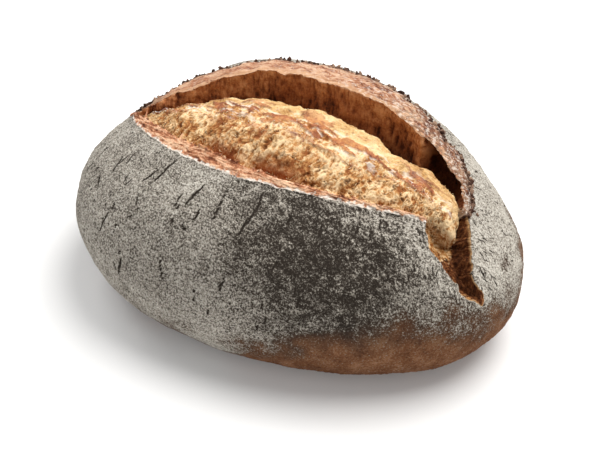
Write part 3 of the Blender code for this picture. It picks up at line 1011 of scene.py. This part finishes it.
def mesh_of(name, points, faces, normals=None):
    """A smooth mesh from arrays of points and of faces with one number of corners."""
    mesh = bpy.data.meshes.new(name)
    corners = faces.shape[1]
    mesh.vertices.add(len(points))
    mesh.vertices.foreach_set("co", points.astype(np.float32).ravel())
    mesh.loops.add(faces.size)
    mesh.loops.foreach_set("vertex_index", faces.astype(np.int32).ravel())
    mesh.polygons.add(len(faces))
    starts = np.arange(len(faces), dtype=np.int32) * corners
    mesh.polygons.foreach_set("loop_start", starts)
    mesh.polygons.foreach_set("use_smooth", np.ones(len(faces), bool))
    mesh.update(calc_edges=True)
    mesh.validate()
    if normals is not None:
        mesh.normals_split_custom_set_from_vertices(normals.astype(np.float32))
    return mesh


def place_piece(name, mesh, material):
    piece = bpy.data.objects.new(name, mesh)
    bpy.context.scene.collection.objects.link(piece)
    mesh.materials.append(material)
    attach(piece, "root")
    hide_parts("loaf")
    return piece


def grid_faces(rows, columns, closed):
    """Outward faces of a grid of points, closed where its last column meets its first."""
    wide = columns if closed else columns - 1
    row, column = np.meshgrid(np.arange(rows - 1), np.arange(wide), indexing="ij")
    after = (column + 1) % columns
    corners = [
        row * columns + column,
        row * columns + after,
        (row + 1) * columns + after,
        (row + 1) * columns + column,
    ]
    return np.stack(corners, axis=-1).reshape(-1, 4)


def cut_piece(skin, name, rows, columns, material, masks):
    """One piece of the skin, from a list of rows and a list of columns."""
    block = np.ix_(rows, columns)
    faces = grid_faces(len(rows), len(columns), False)
    points = skin["points"][block].reshape(-1, 3)
    normals = skin["normals"][block].reshape(-1, 3)
    mesh = mesh_of(name, points, faces, normals)
    add_masks(mesh, {m: skin["masks"][m][block] for m in masks})
    return place_piece(name, mesh, material)


def close_base(skin, material, masks):
    """The flat underside: rings out to the rounded lower edge, and a fan at its middle."""
    rows = np.flatnonzero(skin["kind"] == "base")
    rows = np.append(rows, rows[-1] + 1)
    points = skin["points"][rows].reshape(-1, 3)
    middle = np.array([[points[:, 0].mean(), points[:, 1].mean(), 0.0]])
    faces = grid_faces(len(rows), COLUMNS, True)
    column = np.arange(COLUMNS)
    fan = np.stack([(column + 1) % COLUMNS, column, np.full(COLUMNS, len(points))], axis=-1)
    triangles = np.concatenate([faces[:, [0, 1, 2]], faces[:, [0, 2, 3]], fan])
    mesh = mesh_of("underside", np.concatenate([points, middle]), triangles)
    for name in masks:
        data = skin["masks"][name][rows].ravel()
        add_masks(mesh, {name: np.append(data, data.mean())})
    return place_piece("underside", mesh, material)


# ---------------------------------------------------------------- loose crumbs and strands


def ball(fineness):
    """Points and faces of a ball of radius 1."""
    mesh = bmesh.new()
    bmesh.ops.create_icosphere(mesh, subdivisions=fineness, radius=1)
    points = np.array([vertex.co[:] for vertex in mesh.verts])
    faces = np.array([[vertex.index for vertex in face.verts] for face in mesh.faces])
    mesh.free()
    return points, faces


def skin_frames(skin, row, column):
    """Points on the skin, with directions around the ring, up the rows and outwards."""
    spot, out = surface_at(skin, row, column)
    beside, _ = surface_at(skin, row, column + 2)
    around = beside - spot
    around = unit(around - (around * out).sum(axis=-1, keepdims=True) * out)
    return spot, around, np.cross(out, around), out


def place_copies(name, points, faces, material, rng):
    """One piece from many copies of one shape, each copy with a tone of its own."""
    count, corners = points.shape[0], points[0].size // 3
    offsets = np.arange(count) * corners
    all_faces = (faces[None] + offsets[:, None, None]).reshape(-1, 3)
    mesh = mesh_of(name, points.reshape(-1, 3), all_faces)
    add_masks(mesh, {"tone": np.repeat(rng.random(count), corners)})
    return place_piece(name, mesh, material)


def scatter_lumps(skin, name, row, column, size, jagged, rise, material, rng, fineness=1):
    """Jagged lumps set on the skin; size holds each one's half lengths in its own frame."""
    shape, faces = ball(fineness)
    count = len(row)
    seeds = np.arange(count)[:, None, None] * 5.3
    local = shape[None] * (1 + jagged * noise(shape[None] * 1.6 + seeds, 301)[..., None])
    local = local * size[:, None, :]
    spin, tip = rng.random(count) * 2 * math.pi, rng.normal(0, LUMP_TIP, count)
    turn_x = local[..., 0] * np.cos(spin)[:, None] - local[..., 1] * np.sin(spin)[:, None]
    turn_y = local[..., 0] * np.sin(spin)[:, None] + local[..., 1] * np.cos(spin)[:, None]
    high = local[..., 2] + turn_x * np.tan(tip)[:, None]
    spot, around, up, out = skin_frames(skin, row, column)
    points = (
        spot[:, None] + out[:, None] * (high + rise[:, None])[..., None]
        + around[:, None] * turn_x[..., None] + up[:, None] * turn_y[..., None]
    )
    points[..., 2] = np.maximum(points[..., 2], 0)
    return place_copies(name, points, faces, material, rng)


def strand_middles(skin, row, column, length, heading, radius, arch, rng):
    """Middle line of each strand over the skin, and the skin's outward direction under it."""
    count = len(row)
    spot, _, _, _ = skin_frames(skin, row, column)
    share = np.linspace(0, 1, STRAND_KNOTS)[None, :]
    swirl = rng.normal(0, STRAND_SWIRL, count)[:, None] * share
    angle = heading[:, None] + (swirl + rng.normal(0, STRAND_KINK, (count, STRAND_KNOTS)))
    step = (length / (STRAND_KNOTS - 1))[:, None]
    run = np.cumsum(np.cos(angle) * step, axis=1)
    slip = np.cumsum(np.sin(angle) * step, axis=1)
    row_size = np.linalg.norm(surface_at(skin, row + 1, column)[0] - spot, axis=-1)
    column_size = np.linalg.norm(surface_at(skin, row, column + 1)[0] - spot, axis=-1)
    rows = row[:, None] + run / np.maximum(row_size, 0.1 * MM)[:, None]
    columns = column[:, None] + slip / np.maximum(column_size, 0.1 * MM)[:, None]
    rows = np.clip(rows, 0, len(skin["points"]) - 1.01)
    centre, normal = surface_at(skin, rows, columns)
    sunk_ends = radius[:, None] * (1 - 12 * (share - 0.5) ** 2)
    rise = arch[:, None] * np.sin(math.pi * share) + sunk_ends
    return centre + normal * rise[..., None], normal


def scatter_strands(skin, name, row, column, length, heading, radius, arch, material, rng):
    """Thin curled strands of crumb that lie on the skin and arch a little off it."""
    knots, sides = STRAND_KNOTS, STRAND_SIDES
    centre, normal = strand_middles(skin, row, column, length, heading, radius, arch, rng)
    ahead = unit(np.gradient(centre, axis=1))
    side = unit(np.cross(ahead, normal))
    top = np.cross(side, ahead)
    taper = 0.35 + 0.65 * np.sin(math.pi * np.linspace(0, 1, knots)[None, :])
    thick = radius[:, None] * taper * rng.uniform(0.7, 1.3, (len(row), knots))
    turn = np.arange(sides) * 2 * math.pi / sides
    points = centre[:, :, None] + thick[:, :, None, None] * (
        side[:, :, None] * np.cos(turn)[:, None] + top[:, :, None] * np.sin(turn)[:, None]
    )
    quads = grid_faces(knots, sides, True)
    last = (knots - 1) * sides
    caps = np.array([[0, 2, 1], [last, last + 1, last + 2]])
    faces = np.concatenate([quads[:, [0, 1, 2]], quads[:, [0, 2, 3]], caps])
    return place_copies(name, points, faces, material, rng)


def rows_of(skin, kind, low, high):
    """First and last row of one part of the skin between two places."""
    rows = np.flatnonzero((skin["kind"] == kind) & (skin["place"] >= low) & (skin["place"] <= high))
    return rows[0], rows[-1]


def columns_between(rng, count, start, end):
    """Scattered columns of the skin, from one share of the ring to another."""
    return rng.uniform(start, end, count) * COLUMNS


def scatter_ear_crumbs(skin, material):
    """Dark jagged crumbs along the outer edge of the ear."""
    rng = np.random.default_rng(401)
    count = EAR_CRUMBS
    edge = rows_of(skin, "rim", 0.0, 0.0)[0]
    column = columns_between(rng, count, 0.03, 0.46)
    inner = rng.random(count) < 0.6
    row = edge + np.where(inner, rng.exponential(1.5, count), -rng.exponential(1.2, count))
    big = rng.random(count) ** 2.2
    size = MM * mix(0.35, 1.45, big)[:, None] * rng.uniform(0.6, 1.25, (count, 3))
    rise = 0.25 * size[:, 2]
    scatter_lumps(skin, "ear_crumbs", row, column, size, 0.55, rise, material, rng)


def scatter_rim_flakes(skin, material):
    """Curled shards of torn crust along the near rim, the lip of the ear and the left tip."""
    rng = np.random.default_rng(409)
    count = RIM_FLAKES
    first, last = rows_of(skin, "opening", 0.2, 1.6)
    near = rng.random(count) < 0.75
    at_tip = rng.random(count) < 0.12
    column = np.where(
        near, columns_between(rng, count, 0.53, 0.86), columns_between(rng, count, 0.05, 0.42)
    )
    edge = rows_of(skin, "rim", 0.9, 1.0)[1]
    row = np.where(near, rng.uniform(first, last, count), edge + rng.normal(0, 1.0, count))
    long = mix(0.6, 2.0, rng.random(count) ** 2)
    wide = mix(0.35, 0.8, rng.random(count))
    thick = mix(0.12, 0.30, rng.random(count))
    size = MM * np.stack([long, wide, thick], axis=-1)
    column = np.where(at_tip, columns_between(rng, count, 0.490, 0.525), column)
    row = np.where(at_tip, edge + rng.uniform(-6, 2, count), row)
    size[~near] *= 0.6
    size[at_tip] = size[at_tip] * 0.8 + 0.5 * MM
    rise = 0.2 * MM * np.ones(count)
    scatter_lumps(skin, "rim_flakes", row, column, size, 0.5, rise, material, rng, 2)


def scatter_crumb_strands(skin, material):
    """Curled strands over the open crumb, thickest on its near side and torn end."""
    rng = np.random.default_rng(419)
    count = CRUMB_STRANDS
    near = rng.random(count) < 0.80
    column = np.where(
        near, columns_between(rng, count, 0.52, 0.93), columns_between(rng, count, 0.07, 0.44)
    )
    first, last = rows_of(skin, "opening", 3.4, 8.2)
    low, high = rows_of(skin, "opening", 5.0, 8.4)
    row = np.where(near, rng.uniform(first, last, count), rng.uniform(low, high, count))
    length = MM * mix(1.6, 4.6, rng.random(count) ** 1.6)
    heading = rng.normal(0, 0.9, count) + np.where(rng.random(count) < 0.5, 0, math.pi)
    radius = MM * mix(0.09, 0.20, rng.random(count))
    arch = MM * mix(0.05, 0.55, rng.random(count) ** 2)
    length, radius = np.where(near, length, 0.55 * length), np.where(near, radius, 0.75 * radius)
    name = "crumb_strands"
    scatter_strands(skin, name, row, column, length, heading, radius, arch, material, rng)


def scatter_flour(skin, material):
    """Grains of flour along the seam and over the ear."""
    rng = np.random.default_rng(431)
    count = FLOUR_GRAINS
    seam = rng.random(count) < 0.55
    low, high = rows_of(skin, "opening", 7.8, LAST_PLACE)
    first, last = rows_of(skin, "rim", 0.15, 0.95)
    row = np.where(seam, rng.uniform(low, high, count), rng.uniform(first, last, count))
    column = np.where(
        seam, columns_between(rng, count, 0.55, 0.95), columns_between(rng, count, 0.05, 0.30)
    )
    size = MM * mix(0.10, 0.26, rng.random(count))[:, None] * np.ones((1, 3))
    rise = 0.05 * MM * np.ones(count)
    scatter_lumps(skin, "flour_grains", row, column, size, 0.4, rise, material, rng)


# ---------------------------------------------------------------- materials


def graph_of(name):
    material = bpy.data.materials.new(name)
    material.use_nodes = True
    return material, material.node_tree, material.node_tree.nodes["Principled BSDF"]


def add(tree, kind, inputs=(), **settings):
    """A shader node whose inputs are values, other nodes' outputs, or names of masks."""
    node = tree.nodes.new("ShaderNode" + kind)
    for key, value in settings.items():
        setattr(node, key, value)
    for key, value in dict(inputs).items():
        if isinstance(value, str):
            value = add(tree, "Attribute", attribute_name=value).outputs["Fac"]
        if isinstance(value, bpy.types.NodeSocket):
            tree.links.new(value, node.inputs[key])
        else:
            node.inputs[key].default_value = value
    return node


def sum_of(tree, first, second, operation="ADD", clamp=False):
    inputs = {0: first, 1: second}
    return add(tree, "Math", inputs, operation=operation, use_clamp=clamp).outputs[0]


def product(tree, first, second, clamp=False):
    return sum_of(tree, first, second, "MULTIPLY", clamp)


def weighted(tree, terms, constant=0.0):
    """Sum of values times their weights, and a constant."""
    total = constant
    for value, weight in terms:
        total = sum_of(tree, product(tree, value, weight), total)
    return total


# Grain of the materials: size in mm, detail, roughness, how much of each axis counts, shift.
GRAINS = {
    "speck": (0.95, 2.0, 0.70, EVEN, 0.0),
    "dust": (0.50, 1.0, 0.50, EVEN, 3.0),
    "crust_patch": (9, 4.0, 0.65, EVEN, 7.0),
    "crust_dark": (2.2, 3.0, 0.70, EVEN, 11.0),
    "crack_streak": (2.6, 4.0, 0.70, (1.6, 1.6, 0.35), 5.0),
    "fine": (0.90, 3.0, 0.70, EVEN, 0.0),
    "coarse": (5, 3.0, 0.60, EVEN, 2.0),
    "broad": (13, 3.0, 0.60, EVEN, 4.0),
    "loose": (0.70, 3.0, 0.70, EVEN, 0.0),
    "floor": (400, 2.0, 0.60, EVEN, 0.0),
}


def grain(tree, name):
    """Noise from 0 to 1 over the object's own coordinates, as GRAINS describes it."""
    size, detail, rough, stretch, shift = GRAINS[name]
    place = add(tree, "TexCoord").outputs["Object"]
    move = {"Vector": place, "Scale": stretch, "Location": (shift, shift * 0.7, shift * 1.3)}
    moved = add(tree, "Mapping", move).outputs[0]
    inputs = {"Vector": moved, "Scale": 1 / (size * MM), "Detail": detail, "Roughness": rough}
    return add(tree, "TexNoise", inputs).outputs["Fac"]


def ramp(tree, value, stops):
    """Colour ramp from a list of (place, colour)."""
    node = add(tree, "ValToRGB", {"Fac": value})
    points = node.color_ramp.elements
    while len(points) < len(stops):
        points.new(0.5)
    for point, (place, colour) in zip(points, stops):
        point.position = place
        point.color = (*colour, 1)
    return node.outputs["Color"]


def blend(tree, share, first, second):
    """The first colour where share is 0, the second where it is 1."""
    first = (*first, 1) if isinstance(first, tuple) else first
    second = (*second, 1) if isinstance(second, tuple) else second
    inputs = {"Fac": share, "Color1": first, "Color2": second}
    return add(tree, "MixRGB", inputs).outputs[0]


def span(tree, value, low, high):
    """0 below low, 1 above high, and a straight change between."""
    return add(tree, "MapRange", {"Value": value, "From Min": low, "From Max": high}).outputs[0]


def relief_of(tree, height, depth, strength, after=None):
    inputs = {"Height": height, "Distance": depth, "Strength": strength}
    if after is not None:
        inputs["Normal"] = after
    return add(tree, "Bump", inputs).outputs[0]


def finish_matt(tree, shader, colour, normal, rough, specular):
    tree.links.new(colour, shader.inputs["Base Color"])
    tree.links.new(normal, shader.inputs["Normal"])
    shader.inputs["Roughness"].default_value = rough
    shader.inputs["Specular IOR Level"].default_value = specular


def stops_at(places, colours):
    return tuple(zip(places, colours))


# Colours, and ramps of them: the places of their stops in a grain, dark to light.
GOLD = ((0.27, 0.085, 0.018), (0.54, 0.27, 0.092), (0.84, 0.62, 0.36))
SALMON = ((0.17, 0.048, 0.018), (0.50, 0.205, 0.098), (0.82, 0.52, 0.33))
FLOURED = stops_at(
    (0.10, 0.32, 0.55, 0.95),
    ((0.034, 0.026, 0.020), (0.120, 0.103, 0.085), (0.36, 0.325, 0.275), (0.66, 0.62, 0.55)),
)
CRUST_BROWN = stops_at(
    (0.32, 0.48, 0.64), ((0.070, 0.026, 0.011), (0.185, 0.076, 0.033), (0.34, 0.175, 0.090))
)
TEAR_BROWN = stops_at(
    (0.34, 0.50, 0.66), ((0.030, 0.009, 0.003), (0.120, 0.036, 0.011), (0.33, 0.130, 0.045))
)
CRUMB_GOLD = stops_at((0.38, 0.52, 0.67), GOLD)
TEAR_GOLD = stops_at((0.36, 0.50, 0.62), GOLD)
CRUMB_FINE = stops_at(
    (0.34, 0.47, 0.62), ((0.40, 0.195, 0.060), (0.63, 0.39, 0.16), (0.80, 0.58, 0.31))
)
HOLLOW_BROWN = stops_at(
    (0.36, 0.50, 0.64), ((0.19, 0.038, 0.008), (0.37, 0.105, 0.027), (0.55, 0.23, 0.080))
)
FLAKE_RED = stops_at(
    (0.36, 0.50, 0.64), ((0.11, 0.022, 0.009), (0.34, 0.105, 0.042), (0.66, 0.33, 0.16))
)
AMBER = stops_at(
    (0.36, 0.50, 0.66), ((0.15, 0.030, 0.011), (0.37, 0.110, 0.032), (0.60, 0.27, 0.09))
)
TORN_SALMON = stops_at((0.34, 0.50, 0.66), SALMON)
WALL_RED = stops_at(
    (0.32, 0.50, 0.70), ((0.055, 0.012, 0.004), (0.25, 0.064, 0.017), (0.46, 0.155, 0.050))
)
# The ear's wall with painted light on it, lighter and more orange at its top.
WALL_PAINTED_LIGHT = stops_at(
    (0.32, 0.50, 0.70), ((0.16, 0.040, 0.010), (0.46, 0.165, 0.055), (0.70, 0.34, 0.15))
)
# Colour of the painted shade in the crumb's pores.
PAINTED_PORE_SHADE = (0.095, 0.030, 0.008)
SEAM_FLOUR = (0.84, 0.76, 0.67)
TEAR_TAN = (0.50, 0.29, 0.13)
CHAR = (0.040, 0.017, 0.012)
# Colour of the painted highlight along the ear's lip.
LIP_HIGHLIGHT_COLOUR = (0.74, 0.42, 0.23)
# Colour of the painted shade in the groove and at the bottom of the crack.
PAINTED_GROOVE_SHADE = (0.030, 0.008, 0.003)

# Dark, middle and light tone of each kind of loose bit, and where those tones lie.
LOOSE_PLACES = (0.28, 0.52, 0.78)
CHARRED = ((0.020, 0.009, 0.006), (0.075, 0.032, 0.020), (0.34, 0.22, 0.15))
STRAND_GOLD = ((0.42, 0.21, 0.075), (0.76, 0.53, 0.27), (0.90, 0.72, 0.46))
FLOUR_WHITE = ((0.62, 0.55, 0.47), (0.80, 0.76, 0.70), (0.90, 0.88, 0.84))


def crust_material():
    """Browned crust under a matt, grainy dusting of flour, torn open at the end crack."""
    material, tree, shader = graph_of("floured_crust")
    speck, dust, patch = grain(tree, "speck"), grain(tree, "dust"), grain(tree, "crust_patch")
    uneven = weighted(tree, [(speck, 1.9), (dust, 1.0), (patch, 0.35)], -1.625)
    cover = weighted(tree, [("fissure", -1.3), (uneven, 1.0), ("flour", 1.0)])
    floured = ramp(tree, cover, FLOURED)
    toasted = ramp(tree, weighted(tree, [(speck, 0.5), (patch, 0.5)]), CRUST_BROWN)
    browned = blend(tree, span(tree, cover, 0.15, 0.62), toasted, floured)
    skin = blend(tree, "bare", floured, browned)
    skin = blend(tree, product(tree, "scorch", 0.8), skin, CHAR)
    inside = ramp(tree, grain(tree, "crack_streak"), TEAR_BROWN)
    # Painted shade at the bottom of the crack.
    inside = blend(tree, "shade", inside, PAINTED_GROOVE_SHADE)
    gold = ramp(tree, grain(tree, "crust_dark"), TEAR_GOLD)
    inside = blend(tree, span(tree, "golden", 0.15, 0.5), inside, gold)
    skin = blend(tree, span(tree, "tear", 0.01, 0.04), skin, TEAR_TAN)
    skin = blend(tree, span(tree, "tear", 0.05, 0.15), skin, inside)
    fine = relief_of(tree, speck, 1.3 * MM, 0.75)
    normal = relief_of(tree, dust, 0.6 * MM, 0.6, fine)
    finish_matt(tree, shader, skin, normal, 0.95, 0.15)
    return material


def crumb_colour(tree, both, shade):
    """Open golden crumb with painted shade in its pores, browned hollows, floured seam and amber
    glaze.
    """
    crumb = blend(tree, "fine", ramp(tree, shade, CRUMB_GOLD), ramp(tree, both, CRUMB_FINE))
    # Painted shade in the crumb's pores.
    crumb = blend(tree, product(tree, "pore", 0.9, True), crumb, PAINTED_PORE_SHADE)
    crumb = blend(tree, "hollow", crumb, ramp(tree, both, HOLLOW_BROWN))
    crumb = blend(tree, product(tree, "seam", 0.85), crumb, SEAM_FLOUR)
    return blend(tree, "amber", crumb, ramp(tree, both, AMBER))


def torn_colour(tree, shade):
    """Salmon torn crust with a red flaky strip, the ear's wall with painted light on its top, a
    painted highlight along its lip, char and dust.
    """
    torn = blend(tree, "strip", ramp(tree, shade, TORN_SALMON), ramp(tree, shade, FLAKE_RED))
    # Painted light on the top of the ear's wall.
    wall = blend(tree, "glow", ramp(tree, shade, WALL_RED), ramp(tree, shade, WALL_PAINTED_LIGHT))
    torn = blend(tree, "wall", torn, wall)
    # Painted highlight along the ear's lip.
    torn = blend(tree, "lip", torn, LIP_HIGHLIGHT_COLOUR)
    torn = blend(tree, product(tree, "char", 0.85), torn, CHAR)
    return blend(tree, "dust", torn, SEAM_FLOUR)


def opening_material(name):
    """Torn crust, upright wall fibres and open crumb, each where its mask says, with painted shade
    in the groove.
    """
    material, tree, shader = graph_of(name)
    fine, coarse, broad = grain(tree, "fine"), grain(tree, "coarse"), grain(tree, "broad")
    both = weighted(tree, [(fine, 0.48), (coarse, 0.55), (broad, 0.60)], -0.315)
    # Grain tone plus the relief's tone: painted highlight on crests, painted shade in valleys.
    shade = weighted(tree, [("fibre", 0.15), (both, 1.0)])
    torn, crumb = torn_colour(tree, shade), crumb_colour(tree, both, shade)
    colour = blend(tree, "crumb", torn, crumb)
    # Painted shade in the groove.
    colour = blend(tree, product(tree, "deep", 0.9), colour, PAINTED_GROOVE_SHADE)
    inside, gold = ramp(tree, coarse, TEAR_BROWN), ramp(tree, fine, TEAR_GOLD)
    inside = blend(tree, span(tree, "golden", 0.1, 0.4), inside, gold)
    colour = blend(tree, span(tree, "tear", 0.25, 0.6), colour, inside)
    finish_matt(tree, shader, colour, relief_of(tree, fine, 0.9 * MM, 0.7), 0.85, 0.30)
    glazed = add(tree, "MapRange", {"Value": "amber", "To Min": 0.85, "To Max": 0.36})
    tree.links.new(glazed.outputs[0], shader.inputs["Roughness"])
    return material


def loose_material(name, colours, rough=0.9, specular=0.2):
    """Colour of loose bits, each with its own tone and a fine grain."""
    material, tree, shader = graph_of(name)
    fine = grain(tree, "loose")
    shade = weighted(tree, [("tone", 0.45), (fine, 0.6)])
    colour = ramp(tree, shade, stops_at(LOOSE_PLACES, colours))
    normal = relief_of(tree, fine, 0.5 * MM, 0.6)
    finish_matt(tree, shader, colour, normal, rough, specular)
    return material


# ---------------------------------------------------------------- stage


FLOOR_HALF = 4.0
FLOOR_WHITE = ((0.3, (0.80, 0.80, 0.80)), (0.7, (0.82, 0.82, 0.82)))
FLOOR_GLOW = 0.10


def floor_material():
    """Plain white ground with a faint glow of its own."""
    material, tree, shader = graph_of("studio_floor")
    tree.links.new(ramp(tree, grain(tree, "floor"), FLOOR_WHITE), shader.inputs["Base Color"])
    shader.inputs["Roughness"].default_value = 1.0
    shader.inputs["Specular IOR Level"].default_value = 0.0
    shader.inputs["Emission Color"].default_value = (1, 1, 1, 1)
    shader.inputs["Emission Strength"].default_value = FLOOR_GLOW
    return material


def build_floor():
    mesh = bpy.data.meshes.new("floor")
    h = FLOOR_HALF
    mesh.from_pydata([(-h, -h, 0), (h, -h, 0), (h, h, 0), (-h, h, 0)], [], [(0, 1, 2, 3)])
    mesh.materials.append(floor_material())
    floor = bpy.data.objects.new("floor", mesh)
    floor.location.z = LOW.z
    bpy.context.scene.collection.objects.link(floor)


def towards(azimuth, elevation):
    """Direction from the loaf to a place seen at those angles, azimuth 0 being along -Y."""
    around, up = math.radians(azimuth), math.radians(elevation)
    level = math.cos(up)
    return Vector((math.sin(around) * level, -math.cos(around) * level, math.sin(up)))


def aim(thing, target):
    thing.rotation_euler = (target - thing.location).to_track_quat("-Z", "Y").to_euler()


# Each light's angles around and up, distance, width, power and colour.
LIGHTS = {
    "key_light": (156, 65, 1.4, 1.20, 27.0, (1.0, 0.985, 0.96)),
    "side_light": (262, 38, 1.6, 1.0, 9.0, (1, 1, 1)),
}
WORLD_LIGHT = 0.44


def build_lights():
    target = Vector((0, 0, HEIGHT / 2))
    for name, (azimuth, elevation, distance, size, power, colour) in LIGHTS.items():
        data = bpy.data.lights.new(name, "AREA")
        data.shape = "DISK"
        data.size = size
        data.energy = power
        data.color = colour
        light = bpy.data.objects.new(name, data)
        light.location = target + towards(azimuth, elevation) * distance
        aim(light, target)
        bpy.context.scene.collection.objects.link(light)
    world = bpy.data.worlds.new("studio")
    world.use_nodes = True
    background = world.node_tree.nodes["Background"]
    background.inputs["Color"].default_value = (1, 1, 1, 1)
    background.inputs["Strength"].default_value = WORLD_LIGHT
    bpy.context.scene.world = world


CAMERA_ANGLES = (38.65, 38.11)
CAMERA_DISTANCE = 0.6887
CAMERA_TARGET = Vector((0.00406, -0.00967, 0.03639))
CAMERA_VIEW = math.radians(25)


def build_camera():
    data = bpy.data.cameras.new("camera")
    data.sensor_fit = "HORIZONTAL"
    data.angle = CAMERA_VIEW
    camera = bpy.data.objects.new("camera", data)
    camera.location = CAMERA_TARGET + towards(*CAMERA_ANGLES) * CAMERA_DISTANCE
    aim(camera, CAMERA_TARGET)
    bpy.context.scene.collection.objects.link(camera)
    bpy.context.scene.camera = camera


# ---------------------------------------------------------------- the loaf


def build_crust(skin):
    masks = ("flour", "fissure", "bare", "tear", "golden", "scorch", "shade")
    crust = crust_material()
    close_base(skin, crust, masks)
    rows = np.flatnonzero(np.isin(skin["kind"], ("foot", "crust")))
    rows = np.append(rows, rows[-1] + 1)
    quarter = COLUMNS // 4
    names = ("crust_right_back", "crust_left_back", "crust_left_front", "crust_right_front")
    for k, name in enumerate(names):
        columns = np.arange(k * quarter, (k + 1) * quarter + 1) % COLUMNS
        cut_piece(skin, name, rows, columns, crust, masks)


def build_opening(skin):
    # The deep mask is the painted shade in the groove.
    masks = (
        "pore", "fibre", "wall", "seam", "amber", "hollow", "crumb", "char", "dust", "deep",
        "strip", "fine", "lip", "tear", "golden", "glow",
    )
    torn, crumb = opening_material("torn_crust"), opening_material("crumb")
    rows = np.flatnonzero(np.isin(skin["kind"], ("rim", "opening")))
    split = rows_of(skin, "opening", 3.0, LAST_PLACE)[0]
    half = COLUMNS // 2
    sides = {"ear": np.arange(0, half + 1), "near": np.arange(half, COLUMNS + 1) % COLUMNS}
    for side, columns in sides.items():
        cut_piece(skin, "torn_" + side, rows[rows <= split], columns, torn, masks)
        cut_piece(skin, "crumb_" + side, rows[rows >= split], columns, crumb, masks)


def build_loose(skin):
    scatter_ear_crumbs(skin, loose_material("ear_crumbs", CHARRED))
    scatter_rim_flakes(skin, loose_material("rim_flakes", SALMON, 0.6, 0.4))
    scatter_crumb_strands(skin, loose_material("crumb_strands", STRAND_GOLD))
    scatter_flour(skin, loose_material("flour_grains", FLOUR_WHITE))


def main():
    bpy.context.scene.view_settings.view_transform = "Standard"
    skin = build_skin()
    shape_relief(skin)
    paint_masks(skin)
    build_crust(skin)
    build_opening(skin)
    build_loose(skin)
    build_floor()
    build_lights()
    build_camera()


main()
